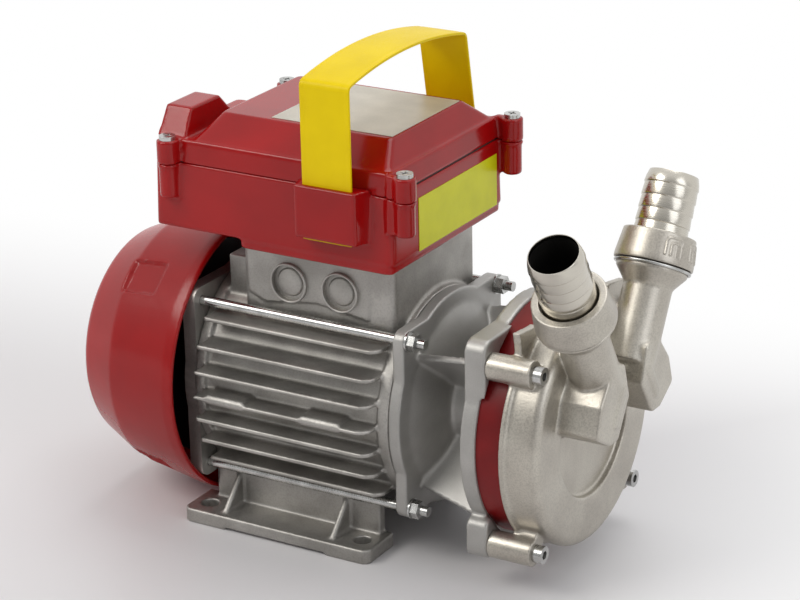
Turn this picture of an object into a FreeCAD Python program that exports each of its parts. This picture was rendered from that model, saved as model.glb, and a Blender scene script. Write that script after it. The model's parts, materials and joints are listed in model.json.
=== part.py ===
import FreeCAD, Part
import math
import os
import Sketcher

# Electric oil transfer pump: a foot-mounted finned motor that carries its terminal box on top,
# and a close-coupled self-priming pump head with two hose tails set in a V.
# Frame: millimetres, +X along the shaft towards the pump head, +Z up. The origin lies on the
# sole of the foot, in the middle of its four holes, straight below the shaft.

SIZES = {
    # foot and shaft line
    "shaft_height": 72.5,  # sole to shaft centreline
    "foot_pitch_x": 90.0,  # foot holes, along the shaft
    "foot_pitch_y": 94.0,  # foot holes, across the shaft
    "foot_hole_dia": 9.0,
    "foot_length": 109.0,
    "foot_width": 116.6,
    "foot_thickness": 7.5,
    "foot_rail_inner_y": 33.0,  # inner edge of each foot rail
    "foot_wall_thickness": 5.5,
    "foot_wall_front_x": 50.0,
    "foot_relief_depth": 1.2,
    "foot_relief_length": 60.0,
    "gusset_spacing": 63.0,
    "gusset_thickness": 3.0,
    "gusset_height": 18.0,
    "gusset_width": 17.0,
    "foot_corner_radius": 5.0,
    # motor barrel
    "flange_face_x": 71.5,  # face of the motor flange that carries the tie-rod nuts
    "motor_flange_thickness": 6.5,
    "barrel_length": 111.5,
    "barrel_dia": 104.0,
    "barrel_bore_dia": 95.0,
    "barrel_ring_dia": 108.0,
    "barrel_ring_width": 6.0,
    "fin_count": 7,
    "fin_pitch": 12.4,
    "fin_thickness": 2.2,
    "fin_circle_dia": 128.0,  # circle that the fin tips lie on
    "fin_rear_setback": 6.0,
    "fin_front_setback": 6.0,
    "fin_corner_radius": 7.0,
    "fin_pad_length": 21.7,
    "fin_pad_height": 5.0,
    "fin_pad_pitch": 55.0,
    "fin_pad_offset": 4.8,  # middle of the pad pair, in front of the foot centre
    "fin_pad_setback": 1.2,
    # pedestal under the terminal box
    "pedestal_length": 85.5,
    "pedestal_width": 78.4,
    "pedestal_front_setback": 10.0,  # behind the flange face
    "pedestal_top_z": 78.8,  # above the shaft centreline
    "pedestal_wall": 7.0,
    "pedestal_corner_radius": 3.0,
    "pedestal_pad_thickness": 1.2,
    "knockout_dia": 18.0,
    "knockout_height": 2.4,
    "knockout_pitch": 29.0,
    "knockout_z": 60.5,
    "step_length": 16.0,
    "step_width": 56.0,
    "step_top_z": 64.0,
    "step_low_z": 44.0,
    "pedestal_root_z": 30.0,
    "side_pad_low_z": 48.5,
    "side_pad_setback": 14.0,
    "scallop_rise": 4.0,
    "knockout_middle_x": 18.0,
    "well_floor_z": 57.0,
    "lead_slot": 26.0,
    "box_screw_dia": 4.0,
    "box_screw_depth": 12.0,
    # motor flange, lantern and pump flange
    "flange_dia": 108.0,
    "flange_half_square": 48.5,
    "flange_corner_radius": 6.0,
    "tie_half_spacing": 43.5,  # tie rods, each way from the shaft
    "lantern_length": 36.0,  # flange face to the back of the pump flange
    "bell_dia": 92.0,
    "bell_length": 9.0,
    "bell_radius": 60.0,
    "hub_dia": 41.0,
    "lantern_bore_dia": 32.0,
    "bell_wall": 4.0,
    "rib_thickness": 3.2,
    "rib_outer_rise": 58.5,
    "rib_heel_rise": 49.0,
    "rib_root": 3.0,
    "rib_upper_angle": 47.0,  # from upright
    "rib_lower_angle": 135.4,
    "lug_corner_radius": 5.0,
    "ear_clearance": 1.0,
    "tap_floor": 2.5,
    "weep_dia": 6.0,
    "pump_flange_dia": 120.0,
    "pump_flange_thickness": 8.0,
    "ear_half_square": 54.6,
    "ear_corner_radius": 7.0,
    "ear_root_z": 24.0,
    "ear_forward": 3.2,  # the ears reach this far past the flange, outside the seal plate
    "lug_inner_y": 39.5,
    "lug_top_z": 36.0,
    "lug_bottom_z": 56.0,
    # bearings and shaft
    "bearing_outer_dia": 35.0,
    "bearing_inner_dia": 15.0,
    "bearing_width": 11.0,
    "bearing_wall": 3.5,
    "preload_thickness": 1.0,
    "bearing_front_setback": 1.0,
    "shaft_clearance_dia": 18.0,
    "rotor_shaft_dia": 20.0,
    "pump_shaft_dia": 13.0,
    "fan_shaft_dia": 11.0,
    "running_clearance": 0.05,
    "bearing_split_dia": 25.0,
    "shaft_tail_reach": 1.0,
    # rear shield and fan cover
    "shield_thickness": 7.0,
    "shield_half_square": 50.5,
    "shield_hub_length": 8.0,
    "spigot_length": 4.0,
    "spigot_wall": 4.0,
    "seat_clearance": 0.1,
    "shield_web": 1.0,
    "cover_gap_x": 1.6,  # barrel end to the rim of the fan cover
    "cover_rim_dia": 142.4,
    "cover_knee_dia": 132.0,
    "cover_rear_dia": 112.0,
    "cover_knee_length": 41.4,
    "cover_length": 65.5,
    "cover_wall": 2.2,
    "cover_lip": 6.0,
    "pocket_rear_reach": 1.5,  # behind the knee of the cover
    "pocket_front_reach": 20.0,
    "pocket_width": 18.0,
    "pocket_depth": 2.4,
    "pocket_angle": 41.5,  # each way from the top and from the bottom
    "grille_slots": 20,
    "grille_inner_rise": 16.0,
    "grille_outer_rise": 46.0,
    "grille_slot_width": 3.4,
    # stator and rotor
    "stack_length": 62.0,
    "stator_bore_dia": 60.0,
    "air_gap": 0.4,
    "winding_length": 13.0,
    "winding_wall": 12.0,
    # fan
    "fan_dia": 112.0,
    "fan_disc_thickness": 2.4,
    "fan_hub_dia": 22.0,
    "fan_length": 20.0,
    "fan_blades": 8,
    "fan_blade_thickness": 2.2,
    "fan_gap": 6.0,
    "blade_slope": 3.0,
    # tie rods and their nuts
    "rod_dia": 5.0,
    "rod_reach": 9.5,  # past the flange face
    "nut_flats": 8.0,
    "nut_height": 4.0,
    "washer_dia": 10.0,
    "washer_thickness": 1.0,
    "rod_head_height": 3.5,
    "hole_clearance": 0.3,
    # terminal box
    "box_rear_x": -64.5,
    "box_main_rear_x": -50.0,
    "box_front_setback": 1.9,
    "box_step_x": -16.5,
    "box_rear_floor_z": 83.8,
    "box_split_z": 117.0,
    "box_half_width": 54.0,
    "box_rear_side_y": 20.0,
    "box_draft": 1.8,
    "box_wall": 2.8,
    "box_floor": 3.0,
    "box_corner_radius": 3.0,
    "skirt_inset": 0.8,
    "lid_shoulder_z": 128.2,
    "lid_top_z": 139.5,
    "lid_shoulder_half": 50.0,
    "lid_top_half": 34.4,
    "lid_top_rear_x": -35.9,
    "lid_top_front_setback": 12.5,
    "lid_wall": 2.6,
    "lid_shoulder_inset": 1.6,
    "lid_foot_inset": 3.4,
    "lid_foot_rear_x": -44.0,
    "hood_inset": 0.4,
    "boss_step": 1.2,
    "boss_web": 4.4,
    "boss_grip": 8.0,
    "gasket_inset": 0.7,
    "cross_length": 4.2,
    "cross_width": 0.9,
    "hood_top_z": 141.5,
    "hood_top_front_x": -48.6,
    "hood_foot_front_x": -47.6,
    "hood_top_low_y": -41.2,
    "hood_top_high_y": -17.4,
    "hood_foot_high_y": -4.0,
    "boss_dia": 10.8,
    "boss_lower_dia": 9.4,
    "boss_lower_length": 16.0,
    "boss_top_z": 128.6,
    "boss_front_reach": 6.6,  # boss centre in front of the box face
    "boss_front_y": 51.8,
    "boss_rear_x": -54.5,
    "boss_rear_y": 54.6,
    "lid_screw_dia": 4.0,
    "lid_screw_head_dia": 8.0,
    "lid_screw_head_height": 2.0,
    "lid_screw_length": 20.0,
    "gasket_width": 1.4,
    "gasket_depth": 1.2,
    # strap and its pockets
    "strap_width": 26.8,
    "strap_thickness": 1.6,
    "strap_centre_setback": 33.0,
    "strap_outer_y": 59.8,
    "strap_fold_z": 170.3,
    "strap_far_fold_y": 51.0,  # the far leg leans in above its loop
    "strap_far_fold_z": 168.8,
    "strap_rise": 6.2,
    "strap_end_z": 91.0,
    "strap_end_lip": 1.6,
    "strap_toe_height": 3.0,
    "pocket_strap_width": 33.4,
    "pocket_strap_face_y": 62.5,
    "pocket_strap_low_z": 94.0,
    "pocket_strap_high_z": 119.8,
    "pocket_strap_clearance": 0.3,
    "pocket_waist_width": 36.0,
    "pocket_waist_y": 57.4,
    "pocket_root_width": 39.8,
    # inside the box and on its back
    "capacitor_dia": 30.0,
    "capacitor_length": 62.0,
    "capacitor_y": 30.0,
    "capacitor_rear_x": -14.0,
    "saddle_length": 12.0,
    "block_x": 8.0,
    "block_y": -30.0,
    "way_gap": 1.2,
    "block_length": 42.0,
    "block_width": 20.0,
    "block_height": 17.0,
    "switch_width": 30.0,
    "switch_height": 22.0,
    "switch_y": -17.0,
    "switch_z": 104.0,
    "switch_depth": 14.0,
    "switch_flange": 1.5,
    "rocker_width": 23.0,
    "rocker_height": 13.0,
    "rocker_rise": 2.8,
    "rocker_depth": 4.4,
    "rocker_dip": 1.6,
    "rocker_gap": 0.5,
    "pin_dia": 2.4,
    "pin_reach": 1.4,
    "switch_lap": 1.8,
    "gland_dia": 16.0,
    "gland_flats": 20.0,
    "gland_length": 20.0,
    "gland_hole_dia": 8.0,
    "gland_inside": 5.0,
    "gland_collar": 5.0,
    "gland_groove": 1.0,
    "gland_nose": 3.0,
    "gland_nose_dia": 13.0,
    "gland_y": 32.0,
    "gland_z": 101.0,
    # labels
    "label_thickness": 0.3,
    "rating_label_length": 67.0,
    "rating_label_width": 64.0,
    "rating_label_setback": 13.5,
    "side_label_length": 76.0,
    "side_label_height": 26.4,
    "side_label_y": 9.2,
    "side_label_z": 97.0,
    # pump head
    "seal_plate_thickness": 13.5,
    "seal_plate_dia": 117.0,
    "pump_dia": 120.6,
    "pump_rim_dia": 124.0,
    "pump_rim_width": 3.0,
    "pump_body_depth": 19.3,
    "pump_face_radius": 4.5,
    "chamber_dia": 100.0,
    "chamber_depth": 11.0,
    "channel_inner_dia": 74.0,
    "channel_outer_dia": 95.0,
    "channel_depth": 3.8,
    "face_recess_dia": 72.0,
    "face_recess_depth": 3.5,
    "screw_half_spacing": 48.4,
    "screw_upper_z": 42.0,
    "screw_lower_z": 49.0,
    "column_dia": 13.4,
    "column_setback": 6.8,
    "column_web": 9.0,
    "seal_bore_dia": 16.0,
    "pump_screw_dia": 5.0,
    "pump_screw_head_dia": 8.6,
    "pump_screw_head_height": 5.0,
    "socket_flats": 4.0,
    "socket_depth": 2.6,
    # ports
    "port_angle": 30.0,  # each port leans this far from upright, across the shaft
    "port_reach": 10.2,  # port axis in front of the pump face
    "block_reach": 21.7,  # elbow block in front of the pump face
    "block_outer_y": 41.0,
    "block_outer_z": 11.5,
    "block_sump_y": 27.0,
    "block_low_y": 18.5,
    "block_low_z": 3.2,
    "block_inner_y": 6.8,
    "block_inner_z": 22.0,
    "block_peak_y": 12.0,
    "block_peak_z": 40.0,
    "block_heel_y": 24.0,
    "block_heel_z": 41.0,
    "block_cheek_y": 36.5,
    "block_cheek_z": 26.0,
    "block_corner_radius": 3.0,
    "block_edge_radius": 1.2,
    # lugs on the case beside the necks
    "lug_thickness": 4.0,
    "near_lug_outer_y": 47.3,
    "near_lug_outer_z": 60.0,
    "near_lug_inner_y": 33.0,
    "near_lug_inner_z": 58.5,
    "near_lug_heel_y": 45.5,
    "near_lug_heel_z": 51.4,
    "far_lug_setback": 7.0,
    "far_lug_inner_y": 33.0,
    "far_lug_inner_z": 59.3,
    "far_lug_outer_y": 48.7,
    "far_lug_outer_z": 56.5,
    "far_lug_heel_y": 54.9,
    "far_lug_heel_z": 47.7,
    "lug_root": 30.0,
    "lozenge_low_y": 22.0,
    "lozenge_low_z": 13.0,
    "lozenge_high_y": 13.4,
    "lozenge_high_z": 27.0,
    "lozenge_width": 4.6,
    "lozenge_rise": 0.9,
    "neck_dia": 24.0,
    "neck_low": 33.0,
    "collar_low": 70.0,
    "collar_dia": 34.8,
    "collar_seat": 77.0,
    "collar_top": 80.0,
    "spigot_dia": 31.0,
    "spigot_top": 85.0,
    "duct_dia": 16.0,
    "duct_low": 30.0,
    "port_hole_dia": 14.0,
    "port_hole_y": 20.0,
    "port_hole_z": 20.0,
    "nut_bottom": 80.4,
    "clip_wire_dia": 1.6,
    "nut_lower_dia": 38.8,
    "nut_upper_dia": 35.6,
    "nut_shoulder": 83.0,
    "nut_top": 95.6,
    "nut_rib_rise": 0.5,
    "nut_rib_low": 83.0,
    "nut_rib_high": 90.0,
    "nut_rib_width": 7.0,
    "nut_rib_count": 4,
    "nut_lip_low": 88.2,
    "nut_lip_dia": 27.4,
    "nut_lip_high": 90.8,
    "nut_recess_dia": 29.8,
    "tail_flange_dia": 30.2,
    "tail_bore_dia": 22.0,
    "tail_root_dia": 24.2,
    "barb_dia": 26.6,
    "tail_mouth_dia": 23.8,
    "tail_mouth": 125.5,
    "barb_pitch": 6.3,
    "barb_count": 5,
    "port_gasket_thickness": 1.0,
    # impeller and shaft seal
    "impeller_dia": 99.0,
    "impeller_width": 9.8,
    "impeller_hub_dia": 28.0,
    "impeller_web_dia": 66.0,
    "impeller_web": 3.0,
    "impeller_vanes": 10,
    "vane_thickness": 4.0,
    "axial_clearance": 0.6,
    "seal_chamber_dia": 34.0,
    "seal_chamber_depth": 10.0,
    "seal_seat_dia": 27.0,
    "seal_seat_width": 4.0,
    "seal_head_dia": 24.0,
    "seal_head_width": 4.6,
    "seal_spring_wire": 1.0,
    "oring_wire": 2.6,
    "oring_ring_dia": 108.0,
    "key_width": 4.0,
    "key_height": 4.0,
    "slinger_dia": 24.0,
    "slinger_width": 4.0,
    "slinger_gap": 6.0,
}

doc = FreeCAD.newDocument("oil_transfer_pump")
sheet = doc.addObject("Spreadsheet::Sheet", "Sizes")
for row, (alias, number) in enumerate(SIZES.items(), start=1):
    sheet.set(f"A{row}", alias.replace("_", " "))
    sheet.set(f"B{row}", str(number))
    sheet.setAlias(f"B{row}", alias)
doc.recompute()


class Size:
    """A number together with the sheet expression that gives it."""

    def __init__(self, number, text):
        self.number = number
        self.text = text

    def __add__(self, other):
        return Size(self.number + number_of(other), f"({self.text} + {text_of(other)})")

    def __radd__(self, other):
        return Size(number_of(other) + self.number, f"({text_of(other)} + {self.text})")

    def __sub__(self, other):
        return Size(self.number - number_of(other), f"({self.text} - {text_of(other)})")

    def __rsub__(self, other):
        return Size(number_of(other) - self.number, f"({text_of(other)} - {self.text})")

    def __mul__(self, other):
        return Size(self.number * number_of(other), f"({self.text} * {text_of(other)})")

    def __rmul__(self, other):
        return Size(number_of(other) * self.number, f"({text_of(other)} * {self.text})")

    def __truediv__(self, other):
        return Size(self.number / number_of(other), f"({self.text} / {text_of(other)})")

    def __neg__(self):
        return Size(-self.number, f"(0 - {self.text})")


def number_of(value):
    return value.number if isinstance(value, Size) else float(value)


def text_of(value):
    return value.text if isinstance(value, Size) else f"({float(value):.9g})"


def root_of(value):
    return Size(math.sqrt(value.number), f"sqrt({value.text})")


class Sheet:
    """Reads each named size from the spreadsheet."""

    def __getattr__(self, alias):
        return Size(float(sheet.get(alias)), f"Sizes.{alias}")


d = Sheet()

# Stations along the shaft
flange_face = d.flange_face_x
barrel_front = flange_face - d.motor_flange_thickness
barrel_rear = barrel_front - d.barrel_length
shield_rear = barrel_rear - d.shield_thickness
pump_flange_rear = flange_face + d.lantern_length
pump_flange_front = pump_flange_rear + d.pump_flange_thickness
ear_front = pump_flange_front + d.ear_forward
pump_rear = pump_flange_front + d.seal_plate_thickness
pump_face = pump_rear + d.pump_body_depth
port_x = pump_face + d.port_reach
cover_rim = barrel_rear - d.cover_gap_x
cover_rear = cover_rim - d.cover_length
box_front = flange_face - d.box_front_setback
strap_x = flange_face - d.strap_centre_setback
front_bearing_rear = flange_face - d.bearing_front_setback
front_bearing_front = front_bearing_rear + d.bearing_width
rear_bearing_rear = shield_rear - d.shield_hub_length + d.bearing_wall + d.preload_thickness
fan_front = shield_rear - d.shield_hub_length - d.fan_gap
rocker_x = d.box_rear_x - d.switch_flange + d.rocker_depth
rear_bearing_front = rear_bearing_rear + d.bearing_width
impeller_rear = pump_rear + d.axial_clearance
impeller_front = impeller_rear + d.impeller_width
seal_floor = pump_rear - d.seal_chamber_depth

CORNERS = [(-1, -1), (-1, 1), (1, -1), (1, 1)]
JOINED = 0.5  # depth by which one feature of a body reaches into the next
bodies = []


# Building blocks

def bind(item, path, value):
    """Ties a property to the sheet."""
    if isinstance(value, Size):
        item.setExpression(path, value.text)


def new_body(label, on_shaft_line=True):
    body = doc.addObject("PartDesign::Body", label)
    body.Label = label
    if on_shaft_line:
        bind(body, "Placement.Base.z", d.shaft_height)
    bodies.append(body)
    return body


def origin_feature(body, role):
    return next(item for item in body.Origin.OriginFeatures if item.Role == role)


def sketch_on(body, name, plane, at=(0, 0, 0), tilt=None):
    """A sketch on an origin plane, moved by at and turned by tilt about the plane's own x axis."""
    sketch = body.newObject("Sketcher::SketchObject", f"{body.Label}_{name}")
    sketch.AttachmentSupport = [(origin_feature(body, plane), "")]
    sketch.MapMode = "FlatFace"
    place = FreeCAD.Vector(*[number_of(value) for value in at])
    angle = number_of(tilt) if tilt else 0.0
    axis = FreeCAD.Vector(-1 if angle < 0 else 1, 0, 0)
    sketch.AttachmentOffset = FreeCAD.Placement(place, FreeCAD.Rotation(axis, abs(angle)))
    for axis, value in zip("xyz", at):
        bind(sketch, f"AttachmentOffset.Base.{axis}", value)
    if isinstance(tilt, Size):
        bind(sketch, "AttachmentOffset.Rotation.Angle", -tilt if angle < 0 else tilt)
    return sketch


def pin_point(sketch, geometry, position, u, v):
    for kind, value in (("DistanceX", u), ("DistanceY", v)):
        index = sketch.addConstraint(Sketcher.Constraint(kind, -1, 1, geometry, position, number_of(value)))
        bind(sketch, f"Constraints[{index}]", value)


def arc_between(start, end, radius):
    """An arc from start to end: a positive radius turns left, a negative one turns right."""
    chord = end - start
    height = math.sqrt(max(radius * radius - chord.Length ** 2 / 4, 0.0))
    left = FreeCAD.Vector(-chord.y, chord.x, 0).normalize()
    centre = (start + end) / 2 + left * (height if radius > 0 else -height)
    first, last = (start, end) if radius > 0 else (end, start)
    angles = [math.atan2(point.y - centre.y, point.x - centre.x) for point in (first, last)]
    circle = Part.Circle(centre, FreeCAD.Vector(0, 0, 1), abs(radius))
    return Part.ArcOfCircle(circle, angles[0], angles[1])


def add_outline(sketch, points):
    """A closed outline; a third value on a point is the radius of the arc that leaves it."""
    places = [FreeCAD.Vector(number_of(point[0]), number_of(point[1]), 0) for point in points]
    sides = []
    for index, point in enumerate(points):
        start, end = places[index], places[(index + 1) % len(points)]
        if len(point) == 3:
            radius = number_of(point[2])
            geometry = sketch.addGeometry(arc_between(start, end, radius))
            sides.append((geometry, 1, 2) if radius > 0 else (geometry, 2, 1))
        else:
            sides.append((sketch.addGeometry(Part.LineSegment(start, end)), 1, 2))
    for index, (geometry, first, last) in enumerate(sides):
        following, following_first, _ = sides[(index + 1) % len(sides)]
        sketch.addConstraint(Sketcher.Constraint("Coincident", geometry, last, following, following_first))
    for point, (geometry, first, _) in zip(points, sides):
        pin_point(sketch, geometry, first, point[0], point[1])
        if len(point) == 3:
            radius = point[2] if number_of(point[2]) > 0 else -point[2]
            index = sketch.addConstraint(Sketcher.Constraint("Radius", geometry, number_of(radius)))
            bind(sketch, f"Constraints[{index}]", radius)
    return sketch


def add_box(sketch, low_u, high_u, low_v, high_v, radius=None):
    """A rectangle, with rounded corners where a radius is given."""
    if radius is None:
        corners = [(low_u, low_v), (high_u, low_v), (high_u, high_v), (low_u, high_v)]
        return add_outline(sketch, corners)
    return add_outline(sketch, [
        (low_u + radius, low_v), (high_u - radius, low_v, radius),
        (high_u, low_v + radius), (high_u, high_v - radius, radius),
        (high_u - radius, high_v), (low_u + radius, high_v, radius),
        (low_u, high_v - radius), (low_u, low_v + radius, radius)])


def add_circle(sketch, u, v, dia):
    centre = FreeCAD.Vector(number_of(u), number_of(v), 0)
    circle = Part.Circle(centre, FreeCAD.Vector(0, 0, 1), number_of(dia) / 2)
    geometry = sketch.addGeometry(circle)
    index = sketch.addConstraint(Sketcher.Constraint("Diameter", geometry, number_of(dia)))
    bind(sketch, f"Constraints[{index}]", dia)
    pin_point(sketch, geometry, 3, u, v)
    return sketch


def add_hexagon(sketch, u, v, flats, twist=0):
    """A hexagon given by its width across flats."""
    reach = flats / math.sqrt(3)
    turns = [math.radians(60 * corner + twist) for corner in range(6)]
    return add_outline(sketch, [(u + reach * math.cos(turn), v + reach * math.sin(turn)) for turn in turns])


def add_slot(sketch, low, high, width):
    """A straight slot with round ends between two points."""
    along_u, along_v = high[0] - low[0], high[1] - low[1]
    span = root_of(along_u * along_u + along_v * along_v)
    radius = width / 2
    u, v = radius * along_u / span, radius * along_v / span
    return add_outline(sketch, [
        (low[0] - v, low[1] + u, radius), (low[0] - u, low[1] - v, radius), (low[0] + v, low[1] - u),
        (high[0] + v, high[1] - u, radius), (high[0] + u, high[1] + v, radius), (high[0] - v, high[1] + u)])


def feature(body, kind, name):
    return body.newObject(f"PartDesign::{kind}", f"{body.Label}_{name}")


def pad(body, name, sketch, length, backwards=False, symmetric=False):
    item = feature(body, "Pad", name)
    item.Profile = (sketch, [""])
    item.Length = number_of(length)
    item.Reversed = backwards
    if symmetric:
        item.SideType = "Symmetric"
    bind(item, "Length", length)
    return item


def cut(body, name, sketch, length, backwards=False):
    """A pocket that runs along the sketch's normal, or against it when backwards."""
    item = feature(body, "Pocket", name)
    item.Profile = (sketch, [""])
    item.Length = number_of(length)
    item.Reversed = not backwards
    bind(item, "Length", length)
    return item


def turn(body, name, sketch, axis="H_Axis", kind="Revolution"):
    item = feature(body, kind, name)
    item.Profile = (sketch, [""])
    item.ReferenceAxis = (sketch, [axis])
    item.Angle = 360.0
    return item


def turn_profile(body, name, points, kind="Revolution"):
    """Turns a profile of (station, radius) points about the shaft line."""
    sketch = add_outline(sketch_on(body, f"{name}_profile", "XZ_Plane"), points)
    return turn(body, name, sketch, "H_Axis", kind)


def turned_ring(body, name, rear, front, inner_dia, outer_dia, kind="Revolution"):
    return turn_profile(body, name, [(rear, inner_dia / 2), (front, inner_dia / 2),
                                     (front, outer_dia / 2), (rear, outer_dia / 2)], kind)


def polar_copies(body, name, original, count):
    """Equal copies of a feature round the shaft line."""
    item = feature(body, "PolarPattern", name)
    item.Originals = [original]
    item.Axis = (origin_feature(body, "X_Axis"), [""])
    item.Angle = 360.0
    item.Occurrences = int(number_of(count))
    bind(item, "Occurrences", count)
    body.Tip = item
    return item


def round_edges(body, name, radius, wanted):
    """Fillets the edges of the body so far for which wanted(edge) holds."""
    doc.recompute()
    base = body.Tip
    edges = [f"Edge{index}" for index, edge in enumerate(base.Shape.Edges, start=1) if wanted(edge)]
    if not edges:
        raise RuntimeError(f"{body.Label}: no edge for {name}")
    item = feature(body, "Fillet", name)
    item.Base = (base, edges)
    item.Radius = number_of(radius)
    bind(item, "Radius", radius)
    return item


def runs_along(edge, axis):
    """True for a straight edge parallel to a frame axis, 0 for X, 1 for Y, 2 for Z."""
    if edge.Curve.TypeId != "Part::GeomLine":
        return False
    direction = edge.tangentAt(edge.FirstParameter)
    return abs(abs(direction[axis]) - 1) < 1e-6


def near(value, size):
    return abs(value - number_of(size)) < 1e-3


# Motor

def motor_housing():
    body = new_body("motor_housing")
    ring = d.barrel_ring_dia / 2
    skin = d.barrel_dia / 2
    width = d.barrel_ring_width
    turn_profile(body, "barrel", [
        (barrel_rear, 0), (barrel_front, 0), (barrel_front, ring), (barrel_front - width, ring),
        (barrel_front - width, skin), (barrel_rear + width, skin), (barrel_rear + width, ring),
        (barrel_rear, ring)])

    # Cooling fins, flat and level, their tips on one circle
    fin_rear = barrel_rear + d.fin_rear_setback
    fin_front = barrel_front - d.fin_front_setback
    corner = d.fin_corner_radius
    tip = d.fin_circle_dia / 2
    half_rows = (int(number_of(d.fin_count)) - 1) // 2
    for row in range(-half_rows, half_rows + 1):
        middle = row * d.fin_pitch
        reach = root_of(tip * tip - middle * middle)
        plan = sketch_on(body, f"fin_{row + half_rows}_plan", "XY_Plane", (0, 0, middle))
        add_outline(plan, [
            (fin_rear, -reach), (fin_front - corner, -reach, corner), (fin_front, corner - reach),
            (fin_front, reach - corner, corner), (fin_front - corner, reach), (fin_rear, reach)])
        pad(body, f"fin_{row + half_rows}", plan, d.fin_thickness, symmetric=True)
    first_pad = d.fin_pad_offset - d.fin_pad_pitch / 2 - d.fin_pad_length / 2
    reach = tip - d.fin_pad_setback
    for end in (0, 1):
        pads = sketch_on(body, f"fin_pads_{end}_section", "YZ_Plane", (0, 0, first_pad + end * d.fin_pad_pitch))
        add_box(pads, -reach, reach, -d.fin_pad_height / 2, d.fin_pad_height / 2)
        pad(body, f"fin_pads_{end}", pads, d.fin_pad_length)

    # Foot: two rails, the walls that carry the barrel, and their gussets
    sole = -d.shaft_height
    rails = sketch_on(body, "rails_section", "YZ_Plane")
    wall_rear = barrel_rear + JOINED
    walls = sketch_on(body, "walls_section", "YZ_Plane", (0, 0, wall_rear))
    wall_outer = d.foot_rail_inner_y + d.foot_wall_thickness
    for side in (-1, 1):
        ends = sorted((side * d.foot_rail_inner_y, side * d.foot_width / 2), key=number_of)
        add_box(rails, ends[0], ends[1], sole, sole + d.foot_thickness)
        ends = sorted((side * d.foot_rail_inner_y, side * wall_outer), key=number_of)
        add_box(walls, ends[0], ends[1], sole + d.foot_thickness - JOINED, -d.foot_rail_inner_y)
    pad(body, "rails", rails, d.foot_length, symmetric=True)
    pad(body, "walls", walls, d.foot_wall_front_x - wall_rear)
    gusset_top = sole + d.foot_thickness + d.gusset_height
    gusset_foot = sole + d.foot_thickness - JOINED
    for end in (-1, 1):
        gussets = sketch_on(body, f"gussets_{end}_section", "YZ_Plane", (0, 0, end * d.gusset_spacing / 2))
        for side in (-1, 1):
            add_outline(gussets, [
                (side * (wall_outer - JOINED), gusset_foot), (side * (wall_outer + d.gusset_width), gusset_foot),
                (side * (wall_outer - JOINED), gusset_top)][::side])
        pad(body, f"gussets_{end}", gussets, d.gusset_thickness, symmetric=True)

    # Pedestal for the terminal box, with its raised side pads and blind knock-outs
    top = d.pedestal_top_z
    ped_front = flange_face - d.pedestal_front_setback
    ped_rear = ped_front - d.pedestal_length
    half = d.pedestal_width / 2
    block = sketch_on(body, "pedestal_plan", "XY_Plane", (0, 0, d.pedestal_root_z))
    add_box(block, ped_rear, ped_front, -half, half, d.pedestal_corner_radius)
    pad(body, "pedestal", block, top - d.pedestal_root_z)
    step = sketch_on(body, "step_plan", "XY_Plane", (0, 0, d.step_low_z))
    add_box(step, ped_rear - d.step_length, ped_rear + JOINED, -d.step_width / 2, d.step_width / 2)
    pad(body, "step", step, d.step_top_z - d.step_low_z)
    knock_middle = d.knockout_middle_x
    radius = d.knockout_dia / 2
    edge = d.side_pad_low_z
    rise = edge + d.scallop_rise
    for side, name in ((1, "near"), (-1, "far")):
        face = sketch_on(body, f"{name}_pad_outline", "XZ_Plane", (0, 0, side * (half - JOINED)))
        rear_x, front_x = ped_rear + d.pedestal_corner_radius, ped_front - d.side_pad_setback
        add_outline(face, [
            (rear_x, rise), (knock_middle - d.knockout_pitch, edge), (knock_middle, rise),
            (knock_middle + d.knockout_pitch, edge), (front_x, rise), (front_x, top), (rear_x, top)])
        pad(body, f"{name}_pad", face, d.pedestal_pad_thickness + JOINED, backwards=side < 0)
        caps = sketch_on(body, f"{name}_knockout_circles", "XZ_Plane", (0, 0, side * half))
        for end in (-1, 1):
            add_circle(caps, knock_middle + end * d.knockout_pitch / 2, d.knockout_z, 2 * radius)
        pad(body, f"{name}_knockouts", caps, d.knockout_height, backwards=side < 0)

    # Bore, hollow pedestal and foot holes
    bore = sketch_on(body, "bore_circle", "YZ_Plane", (0, 0, barrel_rear - JOINED))
    add_circle(bore, 0, 0, d.barrel_bore_dia)
    cut(body, "bore", bore, d.barrel_length + 2 * JOINED)
    wall = d.pedestal_wall
    well = sketch_on(body, "well_plan", "XY_Plane", (0, 0, d.well_floor_z))
    add_box(well, ped_rear + wall, ped_front - wall, wall - half, half - wall, d.pedestal_corner_radius)
    cut(body, "well", well, top)
    leads = sketch_on(body, "lead_slot_plan", "XY_Plane")
    add_box(leads, -d.lead_slot / 2, d.lead_slot / 2, -d.lead_slot / 2, d.lead_slot / 2)
    cut(body, "lead_slot", leads, top)
    taps = sketch_on(body, "box_screw_taps", "XY_Plane", (0, 0, top - d.box_screw_depth))
    for x, y in box_screw_places():
        add_circle(taps, x, y, d.box_screw_dia)
    cut(body, "box_screw_holes", taps, d.box_screw_depth + JOINED)
    relief = sketch_on(body, "foot_relief_section", "YZ_Plane")
    for side in (-1, 1):
        inner, outer = d.foot_rail_inner_y - JOINED, d.foot_width / 2 + JOINED
        ends = sorted((side * inner, side * outer), key=number_of)
        add_box(relief, ends[0], ends[1], sole - JOINED, sole + d.foot_relief_depth)
    slot = cut(body, "foot_relief", relief, d.foot_relief_length)
    slot.SideType = "Symmetric"
    holes = sketch_on(body, "foot_hole_circles", "XY_Plane", (0, 0, sole - JOINED))
    for along, across in CORNERS:
        add_circle(holes, along * d.foot_pitch_x / 2, across * d.foot_pitch_y / 2, d.foot_hole_dia)
    cut(body, "foot_holes", holes, d.foot_thickness + 2 * JOINED)
    corners = {(along * number_of(d.foot_length) / 2, across * number_of(d.foot_width) / 2)
               for along, across in CORNERS}

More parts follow.
